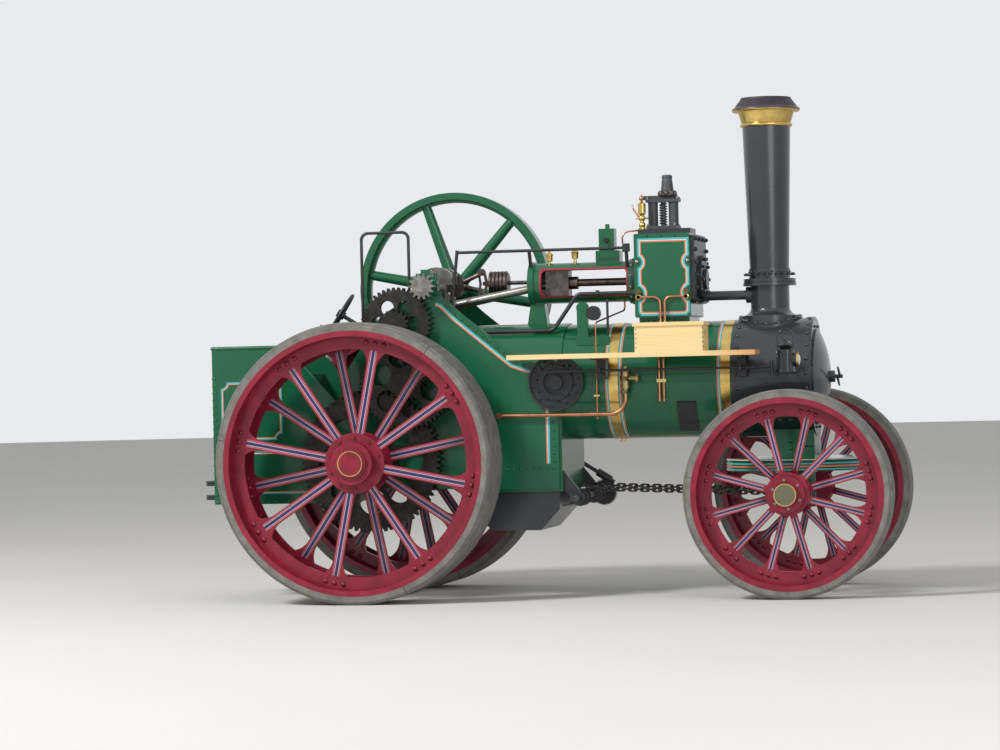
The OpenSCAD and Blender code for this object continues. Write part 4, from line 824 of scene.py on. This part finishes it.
class TRACTION_OT_smokebox(bpy.types.Operator):
    """Rivet the smokebox, its saddle and the chimney, and bolt their flanges"""
    bl_idname = "traction.smokebox"
    bl_label = "Smokebox fastenings"

    def execute(self, context):
        sizes = context.scene.traction_fittings
        r = sizes.rivet_radius
        snap = r, r * 0.8, "black"
        seam = around_x(SMOKEBOX_REAR + 0.036, SMOKE_R, degrees(17.5, 176, 13.7))
        front = around_x(SMOKE_FRONT_BAND, SMOKE_R + 0.006, degrees(15.3, 173, 14.2))
        fasteners("smokebox_rivets", both(seam + front), *snap)
        rim = facing_x(SMOKE_FACE, BOILER_Z, SMOKE_R - 0.016, degrees(0, 350, 10))
        fasteners("smokebox_ring_rivets", rim, 0.009, 0.006, "black")
        # rivets on the curved plate round the chimney's foot
        saddle_ring, neck_ring, collar_ring, door_ring = 0.212, 0.1478, 0.172, 0.372
        neck_z, collar_top, collar_under = 2.300, 2.275, 2.225
        saddle = []
        for x, y in (polar(saddle_ring, a) for a in turns(sizes.saddle_rivets)):
            rise = math.sqrt(SADDLE_PLATE_R ** 2 - y * y)
            saddle += at([(CHIMNEY_X + x, y, BOILER_Z + rise)], (0, y, rise))
        fasteners("saddle_rivets", saddle, *snap)
        # a ring above the collar, and the seam up the back of the taper, turned a little
        # to the left of its rearmost line
        low_r, taper, low_z, tall, seam_rivets = 0.1405, 0.0315, 2.345, 0.97, 20
        rivets = []
        for x, y in (polar(neck_ring, a) for a in degrees(5, 355, 17.5)):
            rivets += at([(CHIMNEY_X + x, y, neck_z)], (x, y, 0))
        for t in [i / (seam_rivets - 1) for i in range(seam_rivets)]:
            rivets += at([(CHIMNEY_X - (low_r + taper * t) * 0.9925, 0.017,
                           low_z + tall * t)], (-1, 0.12, 0))
        fasteners("chimney_rivets", rivets, 0.009, 0.006, "black")
        collar = [polar(collar_ring, a) for a in degrees(9, 351, 18)]
        nuts = []
        for z, way in ((collar_top, 1), (collar_under, -1)):
            nuts += at([(CHIMNEY_X + x, y, z) for x, y in collar], (0, 0, way))
        fasteners("chimney_flange_nuts", nuts, sizes.nut_radius, 0.013, "iron_black",
                  "nuts")
        # studs that hold the door's ring, clear of the hinge on its left
        studs = facing_x(SMOKE_FACE + 0.0045, BOILER_Z, door_ring, degrees(15, 345, 30))
        hinge_y, hinge_reach = 0.29, 0.2
        clear = [(p, way) for p, way in studs
                 if p.y <= hinge_y or abs(p.z - BOILER_Z) >= hinge_reach]
        fasteners("door_ring_studs", clear, 0.010, 0.008, "iron_black", "nuts")
        return {"FINISHED"}


class TRACTION_OT_boiler(bpy.types.Operator):
    """Line the boiler beside its brass bands, and stud its cover and low plate"""
    bl_idname = "traction.boiler"
    bl_label = "Boiler lining"

    def execute(self, context):
        low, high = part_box("boiler_bands")
        bands = [(high.x - BAND_WIDTH, high.x), (low.x, low.x + BAND_WIDTH)]
        near, far = BARREL_R - 0.001, BARREL_R + 0.0007
        low_line_rear, low_line_turn = 0.390, 122
        # colour of each line, its gap from the band and its width
        for colour, gap, width in (("line_blue", 0.003, 0.009),
                                   ("line_white", 0.012, 0.003),
                                   ("line_orange", 0.018, 0.008)):
            bm = bmesh.new()
            for x0, x1 in bands:
                for start, end in ((x0 - gap - width, x0 - gap), (x1 + gap, x1 + gap + width)):
                    if end < SMOKEBOX_REAR:
                        hoop(bm, (0, 0, BOILER_Z), "X", start, end, near, far, 128)
            # line low on each side, from the rear band back to the side cover
            drop = math.radians(low_line_turn + gap * 30)
            for side in (-1, 1):
                n = Vector((0, side * math.sin(drop), math.cos(drop)))
                base = Vector((0, 0, BOILER_Z)) + n * BARREL_R
                stripe(bm, [base + Vector((x, 0, 0)) for x in (
                    low_line_rear, low.x - gap - width / 2)], n, width, raised=0.0012,
                    closed=False)
            fit(f"boiler_hoops_{colour}", bm, colour)
        # clasp that draws each band tight, under the boiler
        bm = bmesh.new()
        middles = [(x0 + x1) / 2 for x0, x1 in bands]
        for x in middles:
            for s in (-0.014, 0.014):
                lathe(bm, [(-0.004, 0.009), (0.030, 0.009), (0.034, 0.006)],
                      (x + s, -0.02, BOILER_Z - BARREL_R - 0.016), "Y", 12)
        fit("band_clasps", bm, "brass")
        screws = []
        for x in middles:
            screws += around_x(x, BARREL_R + 0.004, degrees(125, 235, 110))
        fasteners("band_screws", screws, 0.007, 0.004, "brass")
        # two rings of cup heads on the side cover, the outer one clear of its three holes
        cover = middle("side_cover")
        cover_face, holes, outer_ring, inner_ring = -0.474, (50, 90, 130), 0.168, 0.1375
        outer = [a for a in range(9, 360, 36) if min(abs(a - hole) for hole in holes) > 10]
        heads = []
        for r, angles in ((outer_ring, outer), (inner_ring, range(-9, 324, 36))):
            heads += on_wheel(cover, r, map(math.radians, angles), cover_face, -1)
        fasteners("side_cover_studs", heads, 0.0095, 0.008, "iron_black")
        # hexagons of the clack valve on the feed pipe: height, thickness, radius
        bm = bmesh.new()
        clack_x, clack_y = 0.680, -0.490
        for z, tall, r in ((0.0, 0.034, 0.036), (-0.088, 0.026, 0.032), (0.075, 0.016, 0.024)):
            lathe(bm, [(0, r), (tall, r)], (clack_x, clack_y, BOILER_Z + z), "Z", 6)
        fit("clack_hexagons", bm, "bronze")
        # studs along the low plate's two upright edges
        studs, plate_edges = [], (1.046, 1.154)
        for x in plate_edges:
            studs += around_x(x, BARREL_R + 0.008, [-a for a in degrees(116, 144, 9)])
        fasteners("low_plate_studs", studs, 0.009, 0.007, "iron_black")
        return {"FINISHED"}


class TRACTION_OT_cylinder(bpy.types.Operator):
    """Line the cylinder block, and fit its nuts, oil cups, cocks and copper pipe"""
    bl_idname = "traction.cylinder"
    bl_label = "Cylinder trim"

    def execute(self, context):
        nut_r = context.scene.traction_fittings.nut_radius
        y = BLOCK_FACE_Y
        panel_low, panel_high, dome_z, stud_z = 2.008, 2.549, 2.390, 2.572
        cover_x, cover_ring, chest_y = 0.684, 0.158, 0.384
        foot_y, foot_z, union_z, wheel_z = -0.240, 1.965, 2.135, 2.170
        # lining round the near face, bitten hollow beside its four studs
        outline = bitten(BLOCK_REAR + 0.032, panel_low, BLOCK_FRONT - 0.015, panel_high,
                         ((2.386, 0.050), (2.160, 0.066)))
        lined("block_lining", [([(x, y, z) for x, z in outline], RIGHTWARD, 1)],
              WIDE_LINING)
        domes = at([(x, y, dome_z) for x in (BLOCK_REAR + 0.021, BLOCK_FRONT - 0.018)],
                   RIGHTWARD)
        fasteners("block_dome_nuts", domes, 0.0165, 0.015, "steel")
        studs = row((BLOCK_REAR + 0.10, y, stud_z), (BLOCK_REAR + 0.30, y, stud_z), 3,
                    RIGHTWARD)
        fasteners("block_studs", studs, 0.007, 0.005, "iron_black")
        rear = facing_x(cover_x, CYLINDER_Z, cover_ring, degrees(15, 345, 30), BACKWARD)
        fasteners("cylinder_nuts", rear, nut_r, 0.014, "steel", "nuts")
        # nuts along the four edges of the front end plate
        edges = [(v, z) for v in (-0.255, -0.085, 0.085, 0.255) for z in (2.110, 2.550)]
        edges += [(v, z) for v in (-0.262, 0.262) for z in (2.200, 2.290, 2.380, 2.470)]
        fasteners("end_plate_nuts", at([(END_PLATE_X, v, z) for v, z in edges], FORWARD),
                  0.015, 0.016, "iron_black", "nuts")
        chest = at([(x, chest_y, CYLINDER_Z + z) for x in (0.825, 0.893, 0.971, 1.039)
                    for z in (-0.090, 0.110)], LEFTWARD)
        fasteners("chest_nuts", chest, nut_r, 0.014, "steel", "nuts")
        # rows of rivets along the saddle's foot, both sides
        foot = row((BLOCK_REAR + 0.05, foot_y, foot_z), (BLOCK_REAR + 0.354, foot_y, foot_z),
                   9, RIGHTWARD)
        fasteners("saddle_foot_rivets", both(foot), 0.009, 0.007)
        # brass oil cups along the guide, with their lids
        bm = bmesh.new()
        for x, z in ((0.245, 2.420), (0.055, 2.405)):
            lathe(bm, [(-0.02, 0.012), (0.015, 0.012), (0.018, 0.024), (0.055, 0.026),
                       (0.058, 0.029), (0.066, 0.029), (0.078, 0.018), (0.083, 0.008),
                       (0.094, 0.008), (0.096, 0)], (x, 0, z), "Z", 20)
        # union nuts of the drain cocks
        cocks = BLOCK_REAR + 0.030, BLOCK_FRONT - 0.030
        for x in cocks:
            lathe(bm, [(-0.004, 0.021), (0.020, 0.021), (0.022, 0.0145), (0.034, 0.0145)],
                  (x, y - 0.002, union_z), "Y", 6)
        fit("oil_cups", bm, "brass")
        # bronze wheels of the drain cocks, with six round lobes
        bm = bmesh.new()
        for x in cocks:
            lathe(bm, [(-0.004, 0.009), (0.014, 0.009), (0.014, 0.015), (0.024, 0.015),
                       (0.024, 0.006), (0.034, 0.006)], (x, y - 0.002, wheel_z), "Y", 12)
            for u, v in (polar(0.019, a) for a in turns(6)):
                lathe(bm, [(0.015, 0.0065), (0.023, 0.0065)],
                      (x + u, y - 0.002, wheel_z + v), "Y", 8)
        fit("cock_wheels", bm, "bronze")
        # bent copper pipe from the regulator's gland up to the valve seat
        bm = bmesh.new()
        tube(bm, [(0.624, -0.150, 2.532), (0.622, -0.150, 2.575), (0.640, -0.146, 2.606),
                  (0.668, -0.140, 2.616), (0.736, -0.128, 2.622)], 0.006)
        fit("gland_pipe", bm, "copper", smooth=True)
        # whistle: finial on the bell, and the copper lever that pulls it
        bell = middle("whistle")
        bm = bmesh.new()
        lathe(bm, [(-0.008, 0.007), (0.008, 0.007), (0.014, 0.017), (0.026, 0.020),
                   (0.038, 0.014), (0.046, 0.005), (0.056, 0)],
              (bell.x, bell.y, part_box("whistle")[1].z), "Z", 20)
        tube(bm, [(bell.x + x, bell.y, z) for x, z in (
            (-0.070, 2.806), (-0.062, 2.780), (-0.026, 2.724), (-0.006, 2.712))], 0.0055)
        fit("whistle_lever", bm, "copper", smooth=True)
        return {"FINISHED"}


class TRACTION_OT_valves(bpy.types.Operator):
    """Wind the safety valves' spring, and fit their nuts and the cover's rim"""
    bl_idname = "traction.valves"
    bl_label = "Safety valve spring"

    def execute(self, context):
        coils, per_turn, wire, coil_r = 8, 20, 0.0055, 0.0245
        spring_foot, spring_tall, cover_ring = 0.034, 0.150, 0.053
        base_top, bridge_top, cover_foot, cover_top = 0.022, 0.218, 0.256, 0.368
        total = coils * per_turn
        bm = bmesh.new()
        rings = []
        for i in range(total + 1):
            x, y = polar(1, 2 * math.pi * i / per_turn)
            rise = VALVES_Z + spring_foot + spring_tall * i / total
            rings.append([bm.verts.new((VALVES_X + x * (coil_r + u), y * (coil_r + u),
                                        rise + v))
                          for u, v in (polar(wire, a) for a in turns(8))])
        skin(bm, rings)
        fit("valve_spring", bm, "valve_iron", smooth=True)
        ring_of_eight = [polar(cover_ring, a) for a in turns(8)]
        domes = at([(VALVE_COVER_X + x, y, VALVES_Z + cover_foot)
                    for x, y in ring_of_eight], UPWARD)
        fasteners("valve_dome_nuts", domes, 0.0185, 0.024, "oily_steel")
        # rolled rim on top of the valves' cover
        bm = bmesh.new()
        lathe(bm, [(-0.004, 0.034), (0.004, 0.038), (0.012, 0.039), (0.020, 0.036),
                   (0.024, 0.029)], (VALVE_COVER_X, 0, VALVES_Z + cover_top))
        fit("valve_cover_rim", bm, "valve_iron", smooth=True)
        # nuts on the bridge and on the base
        nuts = [(x, y, bridge_top) for x in (-0.108, 0.108) for y in (-0.038, 0.038)]
        nuts += [(x, y, base_top) for x in (-0.094, 0.094) for y in (-0.094, 0.0, 0.094)]
        fasteners("valve_nuts", at([(VALVES_X + x, y, VALVES_Z + z) for x, y, z in nuts],
                                   UPWARD), 0.013, 0.013, "steel", "nuts")
        return {"FINISHED"}


class TRACTION_OT_hornplates(bpy.types.Operator):
    """Line and rivet the hornplates and bolt the bearings down"""
    bl_idname = "traction.hornplates"
    bl_label = "Hornplate trim"

    def execute(self, context):
        y, bearing_top = HORNPLATE_Y, 2.214
        rivets = []
        # the two ends of each row of rivets, and its count
        for x0, z0, x1, z1, count in (
                (0.145, 0.98, 0.145, 1.31, 7), (0.07, 1.626, -0.12, 1.691, 4),
                (-0.40, 0.925, 0.145, 0.925, 12), (-0.155, 1.722, -0.56, 2.050, 9)):
            rivets += row((x0, -y, z0), (x1, -y, z1), count, RIGHTWARD)
        fasteners("hornplate_rivets", both(rivets), 0.011, 0.008)
        # lining along the front and sloping top edges
        path = [(0.110, 0.96), (0.110, 1.560), (0.075, 1.596), (-0.150, 1.672),
                (-0.555, 2.010), (-0.665, 2.118), (-0.700, 2.130)]
        lined("hornplate", [([(x, side * y, z) for x, z in path], (0, side, 0), -side)
                            for side in (-1, 1)], WIDE_LINING, closed=False)
        bolts = at([(CRANK_X + x, v, bearing_top) for x in (-0.088, 0.088)
                    for v in (-0.426, 0.426)], UPWARD)
        fasteners("bearing_nuts", bolts, context.scene.traction_fittings.nut_radius,
                  0.014, "steel", "nuts")
        return {"FINISHED"}


class TRACTION_OT_forecarriage(bpy.types.Operator):
    """Rivet the perch bracket and line the round plate under it"""
    bl_idname = "traction.forecarriage"
    bl_label = "Forecarriage trim"

    def execute(self, context):
        perch_face, plate_r = -0.210, 0.5285
        rivets = at([(x, perch_face, z) for x, z in PERCH_BOLTS], RIGHTWARD)
        # two on the flange that grips the smokebox
        for x in (1.757, 1.828):
            rivets += around_x(x, SMOKE_R, [-math.radians(135)])
        fasteners("perch_rivets", both(rivets), 0.0145, 0.012)
        # colour, height and width of each ring painted on the plate's edge
        for colour, z, width in (("line_blue", 0.8900, 0.010),
                                 ("line_orange", 0.911, 0.013),
                                 ("line_blue", 0.9310, 0.012),
                                 ("line_white", 0.9590, 0.006)):
            bm = bmesh.new()
            hoop(bm, (PERCH_X, 0, 0), "Z", z - width / 2, z + width / 2, plate_r,
                 plate_r + 0.0025)
            fit(f"forecarriage_{colour}_{int(z * 1000)}", bm, colour)
        return {"FINISHED"}


class TRACTION_OT_tender(bpy.types.Operator):
    """Rivet and line the tender"""
    bl_idname = "traction.tender"
    bl_label = "Tender trim"

    def execute(self, context):
        x0, x1, y = TENDER_REAR, -1.434, HORNPLATE_Y
        low, seam, top, corner = 0.72, 1.125, 1.62, 0.045
        sides = row((x0 + 0.03, -y, low), (x0 + 0.03, -y, top), 19, RIGHTWARD)
        rear = []
        for z in (seam, low):
            sides += row((x0 + 0.08, -y, z), (x1 - 0.05, -y, z), 18, RIGHTWARD)
        for z in (low, seam):
            rear += row((x0, -y + 0.04, z), (x0, y - 0.04, z), 17, BACKWARD)
        for v in (-y + 0.04, y - 0.04):
            rear += row((x0, v, low + 0.05), (x0, v, top), 17, BACKWARD)
        # none behind the drawbar's plate
        bar_y, bar_top = 0.22, 0.92
        clear = [(p, way) for p, way in rear if abs(p.y) >= bar_y or p.z >= bar_top]
        fasteners("tender_rivets", both(sides) + clear, 0.0085, 0.006)
        outlines = []
        for side in (-1, 1):
            for z0, z1, xe in ((0.775, 1.080, x1 - 0.06), (1.170, 1.590, x0 + 0.53)):
                flat = scalloped(x0 + 0.075, z0, xe, z1, corner)
                outlines.append(([(x, side * y, z) for x, z in flat], (0, side, 0), -side))
        flat = scalloped(-y + 0.085, 1.170, y - 0.085, 1.590, corner)
        outlines.append(([(x0, v, z) for v, z in flat], BACKWARD, -1))
        lined("tender_lining", outlines)
        return {"FINISHED"}


# Places and sizes of each pair of wheels' trim, measured from the wheel's middle
FRONT_TRIM = SimpleNamespace(
    name="front", hub=FRONT_HUB, track=0.760, spokes=12, webs=(0.0,),
    # rivets on the T-ring's web: ring's radius, half gap in degrees, size and height
    rivet_ring=0.582, rivet_gap=5.2, rivet_scale=1.0, rivet_tall=0.0150,
    # bolts on the hub's flange
    bolts=6, bolt_ring=0.101, bolt_face=0.130, bolt_first=38, bolt_size=(0.0115, 0.010),
    # spokes: ring's and hub's radius, the hub end's place across, width of the plate
    ring_in=0.540, hub_r=0.130, hub_y=0.062, plate=0.052,
    # polished rim of the hub's cap: place across, half depth, inner and outer radius
    cap=(0.214, 0.005, 0.0715, 0.0790))
REAR_TRIM = SimpleNamespace(
    name="rear", hub=REAR_HUB, track=0.865, spokes=16, webs=(-0.1125, 0.1125),
    rivet_ring=0.862, rivet_gap=4.4, rivet_scale=1.1, rivet_tall=0.0160,
    bolts=10, bolt_ring=0.184, bolt_face=0.128, bolt_first=18, bolt_size=(0.016, 0.013),
    ring_in=0.810, hub_r=0.170, hub_y=0.110, plate=0.070,
    cap=(0.257, 0.004, 0.0835, 0.0910))
# colour of each painted line on a spoke, its shift and width as parts of the plate's
SPOKE_LINES = (("line_navy", 0.0, 0.26), ("line_lilac", 0.19, 0.08),
               ("line_lilac", -0.19, 0.08), ("line_rose", 0.33, 0.06),
               ("line_rose", -0.33, 0.06))


def spoke_stripes(name, trim, wheel, hub, body):
    """Five painted lines on both faces of every spoke, bent as the spokes are."""
    mirror = Matrix.Diagonal((1, wheel, 1, 1))
    step = 2 * math.pi / trim.spokes
    for colour, shift, line in SPOKE_LINES:
        for i, side in enumerate((-1, 1)):
            web = trim.webs[i % len(trim.webs)]
            tilt = math.atan2(web - side * trim.hub_y, trim.ring_in - trim.hub_r)
            place = (mirror @ Matrix.Translation((trim.ring_in, web, 0))
                     @ Matrix.Rotation(tilt, 4, "Z"))
            bm = bmesh.new()
            for face in (-1, 1):
                ends = [place @ Vector((x, face * 0.008, shift * trim.plate)) for x in (
                    trim.hub_r - trim.ring_in + 0.035, 0.012)]
                n = (place.to_3x3() @ Vector((0, face, 0))).normalized()
                stripe(bm, ends, n, line * trim.plate, closed=False)
            piece = grown(f"{name}_{colour}_{round(shift * 100) + 50}_{i}", "repeats",
                          mesh_of(name, bm), Count=trim.spokes // 2, Start=tuple(hub),
                          Pitch=(0.0, 0.0, 0.0), First=(0.0, (i + 0.5) * step, 0.0),
                          Turn=(0.0, 2 * step, 0.0), Material=FINISH[colour])
            on_body(piece, body)


def dress_wheels(sizes, trim, iron, bolt_iron):
    """Rivets, hub bolts, stripes and cap rim of a pair of wheels."""
    for sign, side in SIDES:
        hub = Vector((trim.hub.x, sign * trim.track, trim.hub.z))
        body = f"{trim.name}_wheel_{side}"
        # three rivets beside each spoke's end, on both faces of the ring's web
        rivets = []
        for i in range(trim.spokes):
            mid = -(i + 0.5) * 2 * math.pi / trim.spokes
            spread = math.radians(trim.rivet_gap)
            web = trim.webs[i % len(trim.webs)]
            for way in (-1, 1):
                rivets += on_wheel(hub, trim.rivet_ring, (mid - spread, mid, mid + spread),
                                   hub.y - sign * (web + way * 0.010), -sign * way)
        fasteners(f"{trim.name}_rivets_{side}", rivets,
                  sizes.tee_rivet_radius * trim.rivet_scale, trim.rivet_tall,
                  iron.format(side=side), body=body)
        first = math.radians(trim.bolt_first)
        bolts = on_wheel(hub, trim.bolt_ring, [first + a for a in turns(trim.bolts)],
                         hub.y + sign * trim.bolt_face, sign)
        fasteners(f"{trim.name}_hub_bolts_{side}", bolts, *trim.bolt_size, bolt_iron,
                  "nuts", body)
        if sizes.striped_spokes:
            spoke_stripes(f"{trim.name}_spoke_{side}", trim, -sign, hub, body)
        bm = bmesh.new()
        out, half, inner, outer = trim.cap
        hoop(bm, (hub.x, hub.y + sign * out, hub.z), "Y", -half, half, inner, outer, 64)
        fit(f"{trim.name}_cap_rim_{side}", bm, "brass", body)


class TRACTION_OT_front_wheels(bpy.types.Operator):
    """Rivet, bolt and stripe the two front wheels"""
    bl_idname = "traction.front_wheels"
    bl_label = "Front wheels"

    def execute(self, context):
        dress_wheels(context.scene.traction_fittings, FRONT_TRIM, "crimson_{side}",
                     "steel")
        return {"FINISHED"}


class TRACTION_OT_rear_wheels(bpy.types.Operator):
    """Rivet, bolt and stripe the two rear wheels"""
    bl_idname = "traction.rear_wheels"
    bl_label = "Rear wheels"

    def execute(self, context):
        dress_wheels(context.scene.traction_fittings, REAR_TRIM, "crimson_rear",
                     "crimson_rear")
        return {"FINISHED"}


class TRACTION_OT_woodwork(bpy.types.Operator):
    """Nail the tool box and bolt the plank to its brackets"""
    bl_idname = "traction.woodwork"
    bl_label = "Tool box and plank"

    def execute(self, context):
        low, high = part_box("tool_box")
        plank_low, plank_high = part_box("side_plank")
        nails, nails_top, brackets = [], 1.90, (0.510, 1.100, 1.590)
        for x in (low.x + 0.010, low.x + 0.482):
            nails += row((x, low.y, low.z + 0.03), (x, low.y, nails_top), 5, RIGHTWARD)
        fasteners("tool_box_nails", nails, 0.0045, 0.002, "iron_black")
        # bolts down into the brackets, except under the box
        bolts = at([(x, y, plank_high.z) for x in brackets
                    if not low.x - 0.03 < x < high.x + 0.03
                    for y in (plank_low.y + 0.06, plank_high.y - 0.05)], UPWARD)
        fasteners("plank_bolts", bolts, 0.012, 0.004, "iron_black")
        return {"FINISHED"}


class TRACTION_OT_lamps(bpy.types.Operator):
    """Glaze the two side lamps and give them a rim and ribs"""
    bl_idname = "traction.lamps"
    bl_label = "Side lamps"

    def execute(self, context):
        for sign, side in SIDES:
            lens = Vector((1.930, sign * 0.600, 1.663))
            bm = bmesh.new()
            lathe(bm, [(-0.004, 0.040), (0.002, 0.040), (0.010, 0.030), (0.015, 0.014),
                       (0.016, 0)], lens, "X", 28)
            fit(f"lamp_lens_{side}", bm, "glass", smooth=True)
            bm = bmesh.new()
            hoop(bm, lens, "X", -0.010, 0.005, 0.040, 0.0494, 40)
            fit(f"lamp_rim_{side}", bm, "brass")
            # beads at the body's foot and shoulder, and upright ribs between them
            bm = bmesh.new()
            foot = Vector((1.842, sign * 0.600, 1.585))
            for z, thick in ((0.004, 0.010), (0.128, 0.008)):
                hoop(bm, foot, "Z", z, z + thick, 0.0615, 0.0655, 48)
            for x, y in (polar(0.0622, a) for a in degrees(60, 302, 22)):
                tube(bm, [foot + Vector((x, y, z)) for z in (0.014, 0.128)], 0.003, 6)
            fit(f"lamp_ribs_{side}", bm, "japan")
        return {"FINISHED"}


class TRACTION_OT_chains(bpy.types.Operator):
    """Lay the two steering chains of round links"""
    bl_idname = "traction.chains"
    bl_label = "Steering chains"

    def execute(self, context):
        bar, slot_width, inside, pitch = 0.0065, 0.015, 0.052, 0.0441820
        start_x, end_x, start_z, end_z = 1.771, 0.305, 0.720, 0.777
        slope = math.atan2(end_z - start_z, start_x - end_x)
        turn = Matrix.Rotation(slope, 3, "Y")
        # half the straight of a link, and the reach of its round ends
        half, reach = (inside - slot_width) / 2, slot_width / 2 + bar
        for sign, side in SIDES:
            bm = bmesh.new()
            rings = []
            for centre, first in ((half, -90), (-half, 90)):
                for x, z in (polar(1, a) for a in degrees(first, first + 180, 30)):
                    rings.append([bm.verts.new((centre + (reach + u) * x, v, (reach + u) * z))
                                  for u, v in (polar(bar, a) for a in turns(8))])
            skin(bm, rings, loop=True)
            first_link = (Vector((start_x, sign * CHAIN_Y, start_z))
                          + turn @ Vector((-reach - half, 0, 0)))
            # every second link stands a quarter turn round
            piece = grown(f"steering_chain_{side}", "repeats", mesh_of("link", bm),
                          Count=round((start_x - end_x) / pitch), Start=tuple(first_link),
                          Pitch=tuple(turn @ Vector((-pitch, 0, 0))),
                          First=(0.0, slope, 0.0), Turn=(math.pi / 2, 0.0, 0.0),
                          Material=FINISH["greasy_iron"])
            piece.data.shade_smooth()
            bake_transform(piece)
            if side == "right":
                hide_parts("steering_chains")
        return {"FINISHED"}


class TRACTION_OT_studio(bpy.types.Operator):
    """Set the pale floor, the soft lamps and the camera"""
    bl_idname = "traction.studio"
    bl_label = "Studio and camera"

    def execute(self, context):
        settings = context.scene.traction_studio
        scene = context.scene
        scene.view_settings.view_transform = "Standard"
        # camera at standing height, far off the right side, with a long lens
        lens = bpy.data.cameras.new("camera")
        lens.sensor_width, lens.lens, lens.clip_end = 36.0, 118.1, 300.0
        camera = bpy.data.objects.new("camera", lens)
        scene.collection.objects.link(camera)
        scene.camera = camera
        yaw, roll = math.radians(12), math.radians(1.3)
        ahead = Vector((-math.sin(yaw), math.cos(yaw), 0))
        level = Vector((math.cos(yaw), math.sin(yaw), 0))
        upright = Vector(UPWARD)
        up = upright * math.cos(roll) + level * math.sin(roll)
        right = level * math.cos(roll) - upright * math.sin(roll)
        camera.matrix_world = (Matrix.Translation((4.659, -23.487, 1.602))
                               @ Matrix((right, up, -ahead)).transposed().to_4x4())

        # plain pale floor, and a world of the same tone behind it
        mesh = bpy.data.meshes.new("floor")
        bm = bmesh.new()
        bmesh.ops.create_circle(bm, cap_ends=True, segments=96,
                                radius=settings.floor_radius)
        bm.to_mesh(mesh)
        bm.free()
        pale, tree, shader, place = material("studio_floor")
        cloud = add(tree, NOISE, {"Vector": place, "Scale": 0.35}).outputs["Fac"]
        tone = add(tree, MIX, {"Factor": cloud, COLOUR_A: linear("DAD8D2"),
                               COLOUR_B: linear("E2E0DA")}, data_type="RGBA")
        fill(tree, shader, {"Base Color": tone, "Roughness": 0.9,
                            "Specular IOR Level": 0.1})
        mesh.materials.append(pale)
        add_object("floor", mesh)

        world = bpy.data.worlds.new("studio")
        scene.world = world
        world.use_nodes = True
        tree = world.node_tree
        ray = add(tree, "ShaderNodeLightPath").outputs
        seen = ray["Is Camera Ray"]
        for kind in ("Is Glossy Ray", "Is Transmission Ray"):
            seen = add(tree, MATH, (seen, ray[kind]), operation="MAXIMUM")
        strength = add(tree, MIX, {"Factor": seen, A: settings.world_strength, B: 0.92})
        fill(tree, tree.nodes["Background"], {"Color": linear("F1F3F6"),
                                              "Strength": strength})

        # soft lamps: high over the tender's side, and low before the front wheels
        for label, where, size, watts in (
                ("key", (-9.0, -11.0, 13.0), 4.0, settings.key_watts),
                ("fill", (9.0, -14.0, 6.0), 9.0, settings.fill_watts)):
            lamp = bpy.data.lights.new(label, "AREA")
            lamp.shape, lamp.size, lamp.energy = "DISK", size, watts
            holder = bpy.data.objects.new(label, lamp)
            scene.collection.objects.link(holder)
            aim = Vector((0.3, 0, 1.3)) - Vector(where)
            holder.matrix_world = (Matrix.Translation(where)
                                   @ aim.to_track_quat("-Z", "Y").to_matrix().to_4x4())
        return {"FINISHED"}


class TRACTION_PT_engine(bpy.types.Panel):
    """Settings and steps of the dressing"""
    bl_idname = "TRACTION_PT_engine"
    bl_label = "Traction Engine"
    bl_space_type = "VIEW_3D"
    bl_region_type = "UI"
    bl_category = "Engine"

    def draw(self, context):
        for name, settings in HOLDERS:
            column = self.layout.column(align=True)
            for field in settings.__annotations__:
                column.prop(getattr(context.scene, name), field)
        steps = self.layout.column(align=True)
        for step in STEPS:
            steps.operator(step.bl_idname)


STEPS = (TRACTION_OT_finishes, TRACTION_OT_smokebox, TRACTION_OT_boiler,
         TRACTION_OT_cylinder, TRACTION_OT_valves, TRACTION_OT_hornplates,
         TRACTION_OT_forecarriage, TRACTION_OT_tender, TRACTION_OT_front_wheels,
         TRACTION_OT_rear_wheels, TRACTION_OT_woodwork, TRACTION_OT_lamps,
         TRACTION_OT_chains, TRACTION_OT_studio)
CLASSES = (TractionPaint, TractionFittings, TractionStudio, *STEPS, TRACTION_PT_engine)
HOLDERS = (("traction_paint", TractionPaint), ("traction_fittings", TractionFittings),
           ("traction_studio", TractionStudio))


def register():
    for cls in CLASSES:
        bpy.utils.register_class(cls)
    for name, cls in HOLDERS:
        setattr(bpy.types.Scene, name, PointerProperty(type=cls))


def unregister():
    for name, _ in HOLDERS:
        delattr(bpy.types.Scene, name)
    for cls in reversed(CLASSES):
        bpy.utils.unregister_class(cls)


def main():
    register()
    for step in STEPS:
        part = step.bl_idname.split(".")[1]
        result = getattr(bpy.ops.traction, part)()
        if result != {"FINISHED"}:
            raise RuntimeError(f"{step.bl_label} did not finish")


if __name__ == "__main__":
    main()
